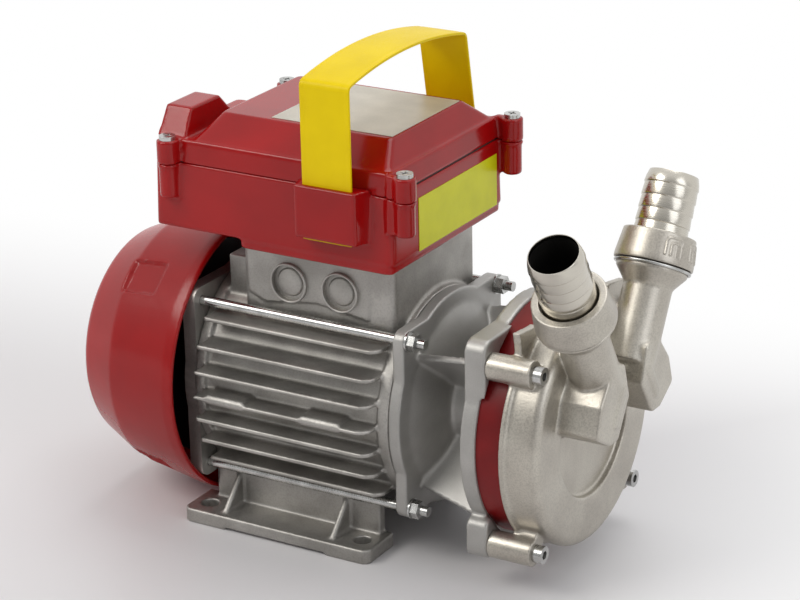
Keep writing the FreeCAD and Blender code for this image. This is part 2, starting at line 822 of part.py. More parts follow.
    def is_foot_corner(edge):
        middle = edge.CenterOfMass
        at_corner = any(abs(middle.x - x) < 1e-3 and abs(middle.y - y) < 1e-3 for x, y in corners)
        return runs_along(edge, 2) and at_corner

    round_edges(body, "foot_corners", d.foot_corner_radius, is_foot_corner)


def box_screw_places():
    """The four screws that hold the terminal box down, in the rim of the pedestal."""
    front = flange_face - d.pedestal_front_setback - d.pedestal_wall / 2
    rear = flange_face - d.pedestal_front_setback - d.pedestal_length + d.pedestal_wall / 2
    across = d.pedestal_width / 2 - d.pedestal_wall / 2
    return [(x, side * across) for x in (rear, front) for side in (-1, 1)]


def tie_places():
    return [(along * d.tie_half_spacing, across * d.tie_half_spacing) for along, across in CORNERS]


def rear_end_shield():
    body = new_body("rear_end_shield")
    seat = d.bearing_outer_dia / 2
    hub = seat + d.bearing_wall
    hub_rear = shield_rear - d.shield_hub_length
    spigot = d.barrel_bore_dia / 2 - d.seat_clearance
    turn_profile(body, "disc", [
        (hub_rear, 0), (barrel_rear + d.spigot_length, 0), (barrel_rear + d.spigot_length, spigot),
        (barrel_rear, spigot), (barrel_rear, d.barrel_dia / 2), (shield_rear, d.barrel_dia / 2),
        (shield_rear, hub), (hub_rear, hub)])
    square = sketch_on(body, "square_outline", "YZ_Plane", (0, 0, shield_rear))
    half = d.shield_half_square
    add_box(square, -half, half, -half, half, d.flange_corner_radius)
    pad(body, "square", square, d.shield_thickness)
    spread = hub + d.shield_web
    turn_profile(body, "inside", [
        (barrel_rear, spread), (barrel_rear + d.spigot_length + JOINED, spread),
        (barrel_rear + d.spigot_length + JOINED, spigot - d.spigot_wall),
        (barrel_rear, spigot - d.spigot_wall)],
        "Groove")
    turned_ring(body, "bearing_seat", hub_rear + d.bearing_wall, barrel_rear + d.spigot_length + JOINED,
                Size(0, "0"), d.bearing_outer_dia + 2 * d.running_clearance, "Groove")
    turned_ring(body, "shaft_hole", hub_rear - JOINED, shield_rear, Size(0, "0"), d.shaft_clearance_dia,
                "Groove")
    holes = sketch_on(body, "rod_holes_circles", "YZ_Plane", (0, 0, shield_rear - JOINED))
    for y, z in tie_places():
        add_circle(holes, y, z, d.rod_dia + d.hole_clearance)
    cut(body, "rod_holes", holes, d.shield_thickness + 2 * JOINED)


def fan_cover():
    body = new_body("fan_cover")
    wall = d.cover_wall
    rim, knee, rear = d.cover_rim_dia / 2, d.cover_knee_dia / 2, d.cover_rear_dia / 2
    lip_x = cover_rim - d.cover_lip
    knee_x = cover_rim - d.cover_knee_length
    turn_profile(body, "shell", [
        (cover_rim, rim), (lip_x, rim), (knee_x, knee), (cover_rear + wall, rear), (cover_rear, rear - wall),
        (cover_rear, 0), (cover_rear + wall, 0), (cover_rear + wall, rear - wall), (knee_x, knee - wall),
        (lip_x, rim - wall), (cover_rim, rim - wall)])

    # Four shallow finger pockets, closed inwards, that run out over the knee
    slope = (rim - knee) / (lip_x - knee_x)
    low_x, high_x = knee_x - d.pocket_rear_reach, knee_x + d.pocket_front_reach
    low_rise, high_rise = knee - slope * d.pocket_rear_reach, knee + slope * d.pocket_front_reach
    depth = d.pocket_depth
    end = slope * wall
    quarters = (d.pocket_angle, 180 - d.pocket_angle, 180 + d.pocket_angle, 360 - d.pocket_angle)
    for quarter, angle in enumerate(quarters):
        tray = sketch_on(body, f"tray_{quarter}_profile", "XZ_Plane", tilt=angle)
        add_outline(tray, [
            (low_x, low_rise - depth - wall), (high_x + wall, high_rise + end - depth - wall),
            (high_x + wall, high_rise + end - wall / 2), (low_x, low_rise - depth)])
        pad(body, f"tray_{quarter}", tray, d.pocket_width + 2 * wall, symmetric=True)
        hollow = sketch_on(body, f"hollow_{quarter}_profile", "XZ_Plane", tilt=angle)
        add_outline(hollow, [
            (low_x, low_rise - depth), (high_x, high_rise - depth), (high_x, high_rise + depth),
            (low_x, high_rise + depth)])
        pocket = cut(body, f"pocket_{quarter}", hollow, d.pocket_width)
        pocket.SideType = "Symmetric"
    slot = sketch_on(body, "slot_outline", "YZ_Plane", (0, 0, cover_rear - JOINED))
    half = d.grille_slot_width / 2
    add_box(slot, -half, half, d.grille_inner_rise, d.grille_outer_rise)
    polar_copies(body, "grille", cut(body, "slot", slot, wall + 2 * JOINED), d.grille_slots)


def tie_rods():
    body = new_body("tie_rods")
    rods = sketch_on(body, "rod_circles", "YZ_Plane", (0, 0, shield_rear - JOINED))
    heads = sketch_on(body, "head_hexagons", "YZ_Plane", (0, 0, shield_rear))
    for y, z in tie_places():
        add_circle(rods, y, z, d.rod_dia)
        add_hexagon(heads, y, z, d.nut_flats)
    pad(body, "heads", heads, d.rod_head_height, backwards=True)
    pad(body, "rods", rods, flange_face + d.rod_reach - shield_rear + JOINED)


def tie_rod_nuts():
    body = new_body("tie_rod_nuts")
    nuts = sketch_on(body, "nut_outlines", "YZ_Plane", (0, 0, flange_face + d.washer_thickness))
    for y, z in tie_places():
        add_hexagon(nuts, y, z, d.nut_flats)
        add_circle(nuts, y, z, d.rod_dia + 2 * d.running_clearance)
    pad(body, "nuts", nuts, d.nut_height)


def tie_rod_washers():
    body = new_body("tie_rod_washers")
    rings = sketch_on(body, "washer_rings", "YZ_Plane", (0, 0, flange_face))
    for y, z in tie_places():
        add_circle(rings, y, z, d.washer_dia)
        add_circle(rings, y, z, d.rod_dia + d.hole_clearance)
    pad(body, "washers", rings, d.washer_thickness)


def stator_and_rotor():
    middle = (barrel_front + barrel_rear) / 2
    rear, front = middle - d.stack_length / 2, middle + d.stack_length / 2
    turned_ring(new_body("stator_core"), "stack", rear, front, d.stator_bore_dia, d.barrel_bore_dia)
    windings = new_body("stator_windings")
    inner = d.stator_bore_dia + 4 * d.air_gap
    outer = inner + 2 * d.winding_wall
    for name, low, high in (("rear_turns", rear - d.winding_length, rear),
                            ("front_turns", front, front + d.winding_length)):
        turned_ring(windings, name, low, high, inner, outer)
    turned_ring(new_body("rotor_core"), "stack", rear, front, d.rotor_shaft_dia,
                d.stator_bore_dia - 2 * d.air_gap)


def motor_shaft():
    body = new_body("motor_shaft")
    seat, thick = d.bearing_inner_dia / 2, d.rotor_shaft_dia / 2
    slim, tail = d.pump_shaft_dia / 2, d.fan_shaft_dia / 2
    tail_end = fan_front - d.fan_length - d.shaft_tail_reach
    turn_profile(body, "steps", [
        (tail_end, 0), (impeller_front, 0), (impeller_front, slim), (front_bearing_front, slim),
        (front_bearing_front, seat), (front_bearing_rear, seat), (front_bearing_rear, thick),
        (rear_bearing_front, thick), (rear_bearing_front, seat), (rear_bearing_rear, seat),
        (rear_bearing_rear, tail), (tail_end, tail)])
    keyway = sketch_on(body, "keyway_outline", "XY_Plane", (0, 0, slim - d.key_height / 2))
    add_box(keyway, impeller_rear + d.axial_clearance, impeller_front + JOINED, -d.key_width / 2,
            d.key_width / 2)
    cut(body, "keyway", keyway, d.key_height)


def bearings():
    split = d.bearing_split_dia
    for name, rear, front in (("front_bearing", front_bearing_rear, front_bearing_front),
                              ("rear_bearing", rear_bearing_rear, rear_bearing_front)):
        turned_ring(new_body(f"{name}_outer"), "ring", rear, front, split + 2 * d.running_clearance,
                    d.bearing_outer_dia)
        turned_ring(new_body(f"{name}_inner"), "ring", rear, front, d.bearing_inner_dia, split)
    turned_ring(new_body("preload_washer"), "ring", rear_bearing_rear - d.preload_thickness, rear_bearing_rear,
                split + 2 * d.axial_clearance, d.bearing_outer_dia)


def cooling_fan():
    body = new_body("cooling_fan")
    disc_rear = fan_front - d.fan_disc_thickness
    hub = d.fan_hub_dia / 2
    turn_profile(body, "disc", [
        (fan_front - d.fan_length, 0), (fan_front, 0), (fan_front, d.fan_dia / 2), (disc_rear, d.fan_dia / 2),
        (disc_rear, hub), (fan_front - d.fan_length, hub)])
    blade = sketch_on(body, "blade_outline", "XZ_Plane")
    root = hub - JOINED
    add_outline(blade, [
        (disc_rear + JOINED, root), (disc_rear + JOINED, d.fan_dia / 2),
        (fan_front - d.fan_length + d.blade_slope, d.fan_dia / 2), (fan_front - d.fan_length, root)])
    polar_copies(body, "blades", pad(body, "blade", blade, d.fan_blade_thickness, symmetric=True), d.fan_blades)
    turned_ring(body, "shaft_bore", fan_front - d.fan_length - JOINED, fan_front + JOINED,
                Size(0, "0"), d.fan_shaft_dia, "Groove")


# Lantern between motor and pump

def front_adapter():
    body = new_body("front_adapter")
    spigot = d.barrel_bore_dia / 2 - d.seat_clearance
    hub = d.hub_dia / 2
    bell_front = flange_face + d.bell_length
    turn_profile(body, "bell", [
        (barrel_front - d.spigot_length, 0), (pump_flange_front, 0), (pump_flange_front, d.pump_flange_dia / 2),
        (pump_flange_rear, d.pump_flange_dia / 2), (pump_flange_rear, hub), (bell_front, hub, d.bell_radius),
        (flange_face, d.bell_dia / 2), (flange_face, d.flange_dia / 2), (barrel_front, d.flange_dia / 2),
        (barrel_front, spigot), (barrel_front - d.spigot_length, spigot)])
    flange = sketch_on(body, "flange_outline", "YZ_Plane", (0, 0, barrel_front))
    half = d.flange_half_square
    add_box(flange, -half, half, -half, half, d.flange_corner_radius)
    pad(body, "flange", flange, d.motor_flange_thickness)

    # Pump flange ears, which reach forward round the seal plate
    ears = sketch_on(body, "ears_outline", "YZ_Plane", (0, 0, pump_flange_rear))
    wide, corner, root = d.ear_half_square, d.ear_corner_radius, d.ear_root_z
    add_outline(ears, [
        (-wide, root), (wide, root), (wide, wide - corner, corner), (wide - corner, wide),
        (corner - wide, wide, corner), (-wide, wide - corner)])
    for side in (-1, 1):
        ends = sorted((side * d.lug_inner_y, side * wide), key=number_of)
        add_box(ears, ends[0], ends[1], -d.lug_bottom_z, -d.lug_top_z, d.lug_corner_radius)
    pad(body, "ears", ears, ear_front - pump_flange_rear)
    turned_ring(body, "plate_clearance", pump_flange_front, ear_front + JOINED, Size(0, "0"),
                d.pump_flange_dia + d.ear_clearance, "Groove")

    # Ribs from the hub out towards the ears
    for name, angle in (("upper_near", d.rib_upper_angle), ("upper_far", 360 - d.rib_upper_angle),
                        ("lower_near", d.rib_lower_angle), ("lower_far", 360 - d.rib_lower_angle)):
        rib = sketch_on(body, f"{name}_rib_outline", "XZ_Plane", tilt=angle)
        add_outline(rib, [
            (flange_face - JOINED, hub - d.rib_root), (pump_flange_rear + JOINED, hub - d.rib_root),
            (pump_flange_rear + JOINED, d.rib_outer_rise), (flange_face - JOINED, d.rib_heel_rise)])
        pad(body, f"{name}_rib", rib, d.rib_thickness, symmetric=True)

    # Hollow behind the bell, bearing seat, shaft hole and front chamber
    seat = d.bearing_outer_dia / 2
    boss = seat + d.bearing_wall
    back = barrel_front - d.spigot_length - JOINED
    shell = spigot - d.spigot_wall
    turn_profile(body, "hollow", [
        (back, boss), (bell_front - d.bell_wall, boss), (flange_face - d.bell_wall, shell), (back, shell)],
        "Groove")
    turned_ring(body, "boss_relief", back, front_bearing_rear - d.axial_clearance, Size(0, "0"),
                2 * (boss + JOINED), "Groove")
    turned_ring(body, "bearing_seat", back, front_bearing_front, Size(0, "0"),
                d.bearing_outer_dia + 2 * d.running_clearance, "Groove")
    turned_ring(body, "shaft_hole", front_bearing_front - JOINED, pump_flange_front, Size(0, "0"),
                d.shaft_clearance_dia, "Groove")
    turned_ring(body, "lantern_bore", front_bearing_front + d.bearing_wall, pump_flange_front + JOINED,
                Size(0, "0"), d.lantern_bore_dia, "Groove")
    rods = sketch_on(body, "rod_hole_circles", "YZ_Plane", (0, 0, barrel_front - JOINED))
    for y, z in tie_places():
        add_circle(rods, y, z, d.rod_dia + d.hole_clearance)
    cut(body, "rod_holes", rods, d.motor_flange_thickness + 2 * JOINED)
    taps = sketch_on(body, "screw_tap_circles", "YZ_Plane", (0, 0, pump_flange_rear + d.tap_floor))
    for y, z in screw_places():
        add_circle(taps, y, z, d.pump_screw_dia)
    cut(body, "screw_taps", taps, ear_front - pump_flange_rear)
    weep = sketch_on(body, "weep_circle", "XY_Plane", (0, 0, -d.lantern_bore_dia / 2 + d.bell_wall))
    add_circle(weep, (bell_front + pump_flange_rear) / 2, 0, d.weep_dia)
    cut(body, "weep_hole", weep, d.hub_dia / 2, backwards=True)


def screw_places():
    levels = (d.screw_upper_z, -d.screw_lower_z)
    return [(side * d.screw_half_spacing, level) for side in (-1, 1) for level in levels]


def slinger():
    turned_ring(new_body("slinger"), "disc", front_bearing_front + d.slinger_gap,
                front_bearing_front + d.slinger_gap + d.slinger_width, d.pump_shaft_dia, d.slinger_dia)


# Terminal box

def box_outline(inset, draft=0):
    """The terminal box in plan as points, drawn in by inset and, at its sides, by draft."""
    corner = d.box_corner_radius
    side = d.box_half_width - inset - draft
    front = box_front - inset
    main_rear = d.box_main_rear_x + inset
    rear = d.box_rear_x + inset
    step = d.box_rear_side_y - inset
    return [
        (rear + corner, -side), (front - corner, -side, corner), (front, corner - side),
        (front, side - corner, corner), (front - corner, side), (main_rear + corner, side, corner),
        (main_rear, side - corner), (main_rear, step), (rear + corner, step, corner),
        (rear, step - corner), (rear, corner - side, corner)]


def loft(body, name, lower, upper, low_z, high_z, subtract=False):
    """A ruled body between two outlines of equal count, one above the other."""
    foot = add_outline(sketch_on(body, f"{name}_foot", "XY_Plane", (0, 0, low_z)), lower)
    head = add_outline(sketch_on(body, f"{name}_head", "XY_Plane", (0, 0, high_z)), upper)
    item = feature(body, "SubtractiveLoft" if subtract else "AdditiveLoft", name)
    item.Profile = (foot, [""])
    item.Sections = [(head, [""])]
    item.Ruled = True
    return item


def boss_places():
    """Centres of the lid screw bosses, each with the x of the wall that its web joins."""
    front_x = box_front + d.boss_front_reach
    return [
        (front_x, -d.boss_front_y, box_front - d.box_wall), (front_x, d.boss_front_y, box_front - d.box_wall),
        (d.boss_rear_x, -d.boss_rear_y, d.boss_rear_x),
        (d.boss_rear_x, d.boss_front_y, d.box_main_rear_x + d.box_wall)]


def add_boss_sections(sketch, dia):
    """Round bosses, each with a narrow web back to the box wall."""
    radius = dia / 2
    half = d.boss_web / 2
    waist = root_of(radius * radius - half * half)
    for x, y, wall_x in boss_places():
        if number_of(wall_x) == number_of(x):
            add_circle(sketch, x, y, dia)
        else:
            side = 1 if number_of(wall_x) < number_of(x) else -1
            low, high = y - side * half, y + side * half
            add_outline(sketch, [
                (wall_x, low), (x - side * waist, low, radius), (x, y - side * radius, radius),
                (x + side * radius, y, radius), (x, y + side * radius, radius), (x - side * waist, high),
                (wall_x, high)])


def add_boss_circles(sketch, dia):
    for x, y, _ in boss_places():
        add_circle(sketch, x, y, dia)


def add_strap_boxes(sketch, half_length, inner_y, outer_y):
    for side in (-1, 1):
        ends = sorted((side * inner_y, side * outer_y), key=number_of)
        add_box(sketch, strap_x - half_length, strap_x + half_length, ends[0], ends[1])


def add_loop_outlines(sketch, inner_y):
    """The two strap loops in plan, which widen towards the wall."""
    face, waist = d.pocket_strap_width / 2, d.pocket_waist_width / 2
    root = d.pocket_root_width / 2
    for side in (-1, 1):
        add_outline(sketch, [(strap_x + side * x, side * y) for x, y in (
            (-root, inner_y), (root, inner_y), (waist, d.pocket_waist_y), (face, d.pocket_strap_face_y),
            (-face, d.pocket_strap_face_y), (-waist, d.pocket_waist_y))])


def terminal_box_base():
    body = new_body("terminal_box_base")
    draft = d.box_draft
    floor_z, split = d.box_rear_floor_z, d.box_split_z
    loft(body, "walls", box_outline(0), box_outline(0, draft), floor_z, split)
    skirt = sketch_on(body, "skirt_plan", "XY_Plane", (0, 0, d.pedestal_top_z))
    inset = d.skirt_inset
    add_box(skirt, d.box_step_x, box_front - inset, inset - d.box_half_width, d.box_half_width - inset,
            d.box_corner_radius)
    pad(body, "skirt", skirt, floor_z - d.pedestal_top_z + JOINED)
    shank = split - d.boss_step - d.boss_lower_length
    column = sketch_on(body, "boss_section", "XY_Plane", (0, 0, shank))
    add_boss_sections(column, d.boss_lower_dia)
    pad(body, "bosses", column, d.boss_lower_length)
    heads = sketch_on(body, "boss_head_section", "XY_Plane", (0, 0, split - d.boss_step))
    add_boss_sections(heads, d.boss_dia)
    pad(body, "boss_heads", heads, d.boss_step)

    # Loops that hold the carrying strap; above the split they stand clear of the lid
    loops = sketch_on(body, "strap_loop_plan", "XY_Plane", (0, 0, d.pocket_strap_low_z))
    add_loop_outlines(loops, d.box_half_width - d.box_wall)
    pad(body, "strap_loops", loops, split - d.pocket_strap_low_z)
    tops = sketch_on(body, "strap_loop_top_plan", "XY_Plane", (0, 0, split - JOINED))
    add_loop_outlines(tops, d.box_half_width - draft + d.pocket_strap_clearance)
    pad(body, "strap_loop_tops", tops, d.pocket_strap_high_z - split + JOINED)
    loft(body, "hollow", box_outline(d.box_wall), box_outline(d.box_wall, draft), floor_z + d.box_floor,
         split + JOINED, subtract=True)
    passage = sketch_on(body, "strap_slot_outline", "XY_Plane", (0, 0, d.pocket_strap_low_z - JOINED))
    play = d.pocket_strap_clearance
    add_strap_boxes(passage, d.strap_width / 2 + play, d.strap_outer_y - d.strap_thickness - play,
                    d.strap_outer_y + play)
    cut(body, "strap_slots", passage, d.pocket_strap_high_z - d.pocket_strap_low_z + 2 * JOINED)

    # Screw holes, lead passage, switch window and gland hole
    screws = sketch_on(body, "lid_screw_circles", "XY_Plane", (0, 0, split - d.lid_screw_length + d.boss_grip))
    add_boss_circles(screws, d.lid_screw_dia + d.hole_clearance)
    cut(body, "lid_screw_holes", screws, d.lid_screw_length)
    down = sketch_on(body, "box_screw_circles", "XY_Plane", (0, 0, d.pedestal_top_z - JOINED))
    for x, y in box_screw_places():
        add_circle(down, x, y, d.box_screw_dia + d.hole_clearance)
    cut(body, "box_screw_holes", down, floor_z)
    leads = sketch_on(body, "lead_slot_outline", "XY_Plane", (0, 0, d.pedestal_top_z - JOINED))
    add_box(leads, -d.lead_slot / 2, d.lead_slot / 2, -d.lead_slot / 2, d.lead_slot / 2)
    cut(body, "lead_slot", leads, floor_z - d.pedestal_top_z + d.box_floor + 2 * JOINED)
    window = sketch_on(body, "switch_window", "YZ_Plane", (0, 0, d.box_rear_x - JOINED))
    add_box(window, d.switch_y - d.switch_width / 2 + d.switch_lap, d.switch_y + d.switch_width / 2 - d.switch_lap,
            d.switch_z - d.switch_height / 2 + d.switch_lap, d.switch_z + d.switch_height / 2 - d.switch_lap)
    cut(body, "switch_opening", window, d.box_wall + 2 * JOINED)
    entry = sketch_on(body, "gland_circle", "YZ_Plane", (0, 0, d.box_main_rear_x - JOINED))
    add_circle(entry, d.gland_y, d.gland_z, d.gland_dia)
    cut(body, "gland_hole", entry, d.box_wall + 2 * JOINED)


def plateau_outline(half, rear, front, corner):
    return [
        (rear + corner, -half), (front - corner, -half, corner), (front, corner - half),
        (front, half - corner, corner), (front - corner, half), (rear + corner, half, corner),
        (rear, half - corner), (rear, corner - half, corner)]


def terminal_box_lid():
    body = new_body("terminal_box_lid")
    split, shoulder = d.box_split_z, d.lid_shoulder_z
    draft, wall = d.box_draft, d.lid_wall
    rim = box_outline(0, draft)
    loft(body, "rim", rim, box_outline(d.lid_shoulder_inset, draft), split, shoulder)
    corner = d.box_corner_radius
    front, rear = box_front - d.lid_foot_inset, d.lid_foot_rear_x
    top_front, top_rear = flange_face - d.lid_top_front_setback, d.lid_top_rear_x
    loft(body, "plateau", plateau_outline(d.lid_shoulder_half, rear, front, corner),
         plateau_outline(d.lid_top_half, top_rear, top_front, corner), shoulder - JOINED, d.lid_top_z)

    def hood(grow):
        foot = [(d.box_rear_x + d.hood_inset - grow, d.hood_inset - grow - d.lid_shoulder_half),
                (d.hood_foot_front_x + grow, d.hood_inset - grow - d.lid_shoulder_half),
                (d.hood_foot_front_x + grow, d.hood_foot_high_y + grow),
                (d.box_rear_x + d.hood_inset - grow, d.hood_foot_high_y + grow)]
        head = [(d.box_rear_x + 2 * d.hood_inset - grow, d.hood_top_low_y - grow),
                (d.hood_top_front_x + grow, d.hood_top_low_y - grow),
                (d.hood_top_front_x + grow, d.hood_top_high_y + grow),
                (d.box_rear_x + 2 * d.hood_inset - grow, d.hood_top_high_y + grow)]
        return foot, head

    foot, head = hood(Size(0, "0"))
    loft(body, "hood", foot, head, shoulder - JOINED, d.hood_top_z)
    bosses = sketch_on(body, "boss_section", "XY_Plane", (0, 0, split))
    add_boss_sections(bosses, d.boss_dia)
    pad(body, "bosses", bosses, d.boss_top_z - split)
    loft(body, "rim_hollow", box_outline(wall, draft), box_outline(wall + d.lid_shoulder_inset, draft),
         split - JOINED, shoulder - wall, subtract=True)
    loft(body, "plateau_hollow", plateau_outline(d.lid_shoulder_half - wall, rear + wall, front - wall, corner),
         plateau_outline(d.lid_top_half, top_rear, top_front, corner), shoulder - wall - JOINED,
         d.lid_top_z - wall, subtract=True)
    groove = sketch_on(body, "gasket_groove", "XY_Plane", (0, 0, split - JOINED))
    for inset in (d.gasket_inset, d.gasket_inset + d.gasket_width):
        add_outline(groove, box_outline(inset, draft))
    cut(body, "groove", groove, d.gasket_depth + JOINED)
    holes = sketch_on(body, "screw_circles", "XY_Plane", (0, 0, split - JOINED))
    add_boss_circles(holes, d.lid_screw_dia + d.hole_clearance)
    cut(body, "screw_holes", holes, d.boss_top_z - split + 2 * JOINED)


def lid_gasket():
    body = new_body("lid_gasket")
    ring = sketch_on(body, "ring_outline", "XY_Plane", (0, 0, d.box_split_z))
    for inset in (d.gasket_inset, d.gasket_inset + d.gasket_width):
        add_outline(ring, box_outline(inset, d.box_draft))
    pad(body, "ring", ring, d.gasket_depth)


def lid_screws():
    body = new_body("lid_screws")
    shanks = sketch_on(body, "shank_circles", "XY_Plane", (0, 0, d.boss_top_z - d.lid_screw_length))
    add_boss_circles(shanks, d.lid_screw_dia)
    pad(body, "shanks", shanks, d.lid_screw_length + JOINED)
    heads = sketch_on(body, "head_circles", "XY_Plane", (0, 0, d.boss_top_z))
    add_boss_circles(heads, d.lid_screw_head_dia)
    pad(body, "heads", heads, d.lid_screw_head_height)
    slots = sketch_on(body, "cross_outline", "XY_Plane", (0, 0, d.boss_top_z + d.lid_screw_head_height / 2))
    long, short = d.cross_length / 2, d.cross_width / 2
    for x, y, _ in boss_places():
        add_outline(slots, [
            (x - long, y - short), (x - short, y - short), (x - short, y - long), (x + short, y - long),
            (x + short, y - short), (x + long, y - short), (x + long, y + short), (x + short, y + short),
            (x + short, y + long), (x - short, y + long), (x - short, y + short), (x - long, y + short)])
    cut(body, "crosses", slots, d.lid_screw_head_height)


def box_screws():
    body = new_body("box_screws")
    floor = d.box_rear_floor_z + d.box_floor
    shanks = sketch_on(body, "shank_circles", "XY_Plane", (0, 0, d.pedestal_top_z - d.box_screw_depth + JOINED))
    heads = sketch_on(body, "head_circles", "XY_Plane", (0, 0, floor))
    for x, y in box_screw_places():
        add_circle(shanks, x, y, d.box_screw_dia)
        add_circle(heads, x, y, d.lid_screw_head_dia)
    pad(body, "shanks", shanks, floor - d.pedestal_top_z + d.box_screw_depth)
    pad(body, "heads", heads, d.lid_screw_head_height)


def box_contents():
    floor = d.box_rear_floor_z + d.box_floor
    capacitor = new_body("capacitor")
    can = sketch_on(capacitor, "can_circle", "YZ_Plane", (0, 0, d.capacitor_rear_x))
    add_circle(can, d.capacitor_y, floor + d.capacitor_dia / 2, d.capacitor_dia)
    pad(capacitor, "can", can, d.capacitor_length)
    saddle = sketch_on(capacitor, "saddle_plan", "XY_Plane", (0, 0, floor))
    middle = d.capacitor_rear_x + d.capacitor_length / 2
    add_box(saddle, middle - d.saddle_length / 2, middle + d.saddle_length / 2,
            d.capacitor_y - d.capacitor_dia / 3, d.capacitor_y + d.capacitor_dia / 3)
    pad(capacitor, "saddle", saddle, d.capacitor_dia / 3)
    block = new_body("terminal_block")
    base = sketch_on(block, "base_plan", "XY_Plane", (0, 0, floor))
    low_x, low_y = d.block_x - d.block_length / 2, d.block_y - d.block_width / 2
    add_box(base, low_x, low_x + d.block_length, low_y, low_y + d.block_width)
    pad(block, "base", base, d.block_height / 2)
    row = sketch_on(block, "way_plan", "XY_Plane", (0, 0, floor + d.block_height / 2 - JOINED))
    ways = 4
    pitch = d.block_length / ways
    for way in range(ways):
        add_box(row, low_x + way * pitch + d.way_gap / 2, low_x + (way + 1) * pitch - d.way_gap / 2,
                low_y + d.way_gap, low_y + d.block_width - d.way_gap)
    pad(block, "ways", row, d.block_height / 2)


def reversing_switch():
    frame = new_body("switch_frame")
    face = d.box_rear_x - d.switch_flange
    half_w, half_h = d.switch_width / 2, d.switch_height / 2
    y, z = d.switch_y, d.switch_z
    flange = sketch_on(frame, "flange_outline", "YZ_Plane", (0, 0, face))
    add_box(flange, y - half_w, y + half_w, z - half_h, z + half_h, d.switch_flange)
    pad(frame, "flange", flange, d.switch_flange)
    lap = d.switch_lap + d.pocket_strap_clearance
    shell = sketch_on(frame, "shell_outline", "YZ_Plane", (0, 0, face + d.switch_flange - JOINED))
    add_box(shell, y - half_w + lap, y + half_w - lap, z - half_h + lap, z + half_h - lap)
    pad(frame, "shell", shell, d.switch_depth)
    window = sketch_on(frame, "window_outline", "YZ_Plane", (0, 0, face - JOINED))
    gap = d.rocker_gap
    add_box(window, y - d.rocker_width / 2 - gap, y + d.rocker_width / 2 + gap,
            z - d.rocker_height / 2 - gap, z + d.rocker_height / 2 + gap)
    cut(frame, "window", window, d.switch_depth)
    pin = sketch_on(frame, "pin_circle", "XY_Plane", (0, 0, z - d.rocker_height / 2 - d.pin_reach - gap))
    add_circle(pin, rocker_x, y, d.pin_dia + 2 * d.running_clearance)
    cut(frame, "pin_holes", pin, d.rocker_height + 2 * d.pin_reach + 2 * gap)

    rocker = new_body("switch_rocker")
    plan = sketch_on(rocker, "rocker_plan", "XY_Plane", (0, 0, z))
    radius = d.rocker_width / 2
    out, back = d.rocker_rise + d.rocker_depth, d.rocker_depth
    wide_out = root_of(radius * radius - out * out)
    wide_back = root_of(radius * radius - back * back)
    add_outline(plan, [
        (rocker_x - out, y + wide_out), (rocker_x - out + d.rocker_dip, y), (rocker_x - out, y - wide_out, radius),
        (rocker_x + back, y - wide_back), (rocker_x + back, y + wide_back, radius)])
    pad(rocker, "rocker", plan, d.rocker_height, symmetric=True)
    pins = sketch_on(rocker, "pin_circle", "XY_Plane", (0, 0, z))
    add_circle(pins, rocker_x, y, d.pin_dia)
    pad(rocker, "pins", pins, d.rocker_height + 2 * d.pin_reach, symmetric=True)


def cable_gland():
    body = new_body("cable_gland")
    wall_x = d.box_main_rear_x
    y, z = d.gland_y, d.gland_z
    barrel = sketch_on(body, "barrel_circle", "YZ_Plane", (0, 0, wall_x - JOINED))
    add_circle(barrel, y, z, d.gland_dia - d.hole_clearance)
    pad(body, "thread", barrel, d.box_wall + d.gland_inside)
    for name, station, length, flats in (
            ("collar", wall_x, d.gland_collar, d.gland_flats),
            ("cap", wall_x - d.gland_collar - d.gland_groove,
             d.gland_length - d.gland_collar - d.gland_groove - d.gland_nose,
             d.gland_flats - d.gland_groove)):
        hexagon = sketch_on(body, f"{name}_outline", "YZ_Plane", (0, 0, station))
        add_hexagon(hexagon, y, z, flats, 30)
        pad(body, name, hexagon, length, backwards=True)
    for name, dia, length in (("neck", d.gland_dia, d.gland_length - d.gland_nose),
                              ("nose", d.gland_nose_dia, d.gland_length)):
        circle = sketch_on(body, f"{name}_circle", "YZ_Plane", (0, 0, wall_x))
        add_circle(circle, y, z, dia)
        pad(body, name, circle, length, backwards=True)
    hole = sketch_on(body, "hole_circle", "YZ_Plane", (0, 0, wall_x - d.gland_length - JOINED))
    add_circle(hole, y, z, d.gland_hole_dia)
    cut(body, "hole", hole, d.gland_length + d.box_wall + d.gland_inside + 2 * JOINED)
    nut = new_body("gland_locknut")
    ring = sketch_on(nut, "ring_outline", "YZ_Plane", (0, 0, wall_x + d.box_wall))
    add_hexagon(ring, y, z, d.gland_flats, 30)
    add_circle(ring, y, z, d.gland_dia)
    pad(nut, "ring", ring, d.gland_inside - 2 * JOINED)


def labels():
    rating = new_body("rating_label")
    plate = sketch_on(rating, "plate_outline", "XY_Plane", (0, 0, d.lid_top_z))
    front = flange_face - d.rating_label_setback
    add_box(plate, front - d.rating_label_length, front, -d.rating_label_width / 2, d.rating_label_width / 2)
    pad(rating, "plate", plate, d.label_thickness)
    side = new_body("side_label")
    strip = sketch_on(side, "strip_outline", "YZ_Plane", (0, 0, box_front))
    add_box(strip, d.side_label_y - d.side_label_length / 2, d.side_label_y + d.side_label_length / 2,
            d.side_label_z - d.side_label_height / 2, d.side_label_z + d.side_label_height / 2)
    pad(side, "strip", strip, d.label_thickness)


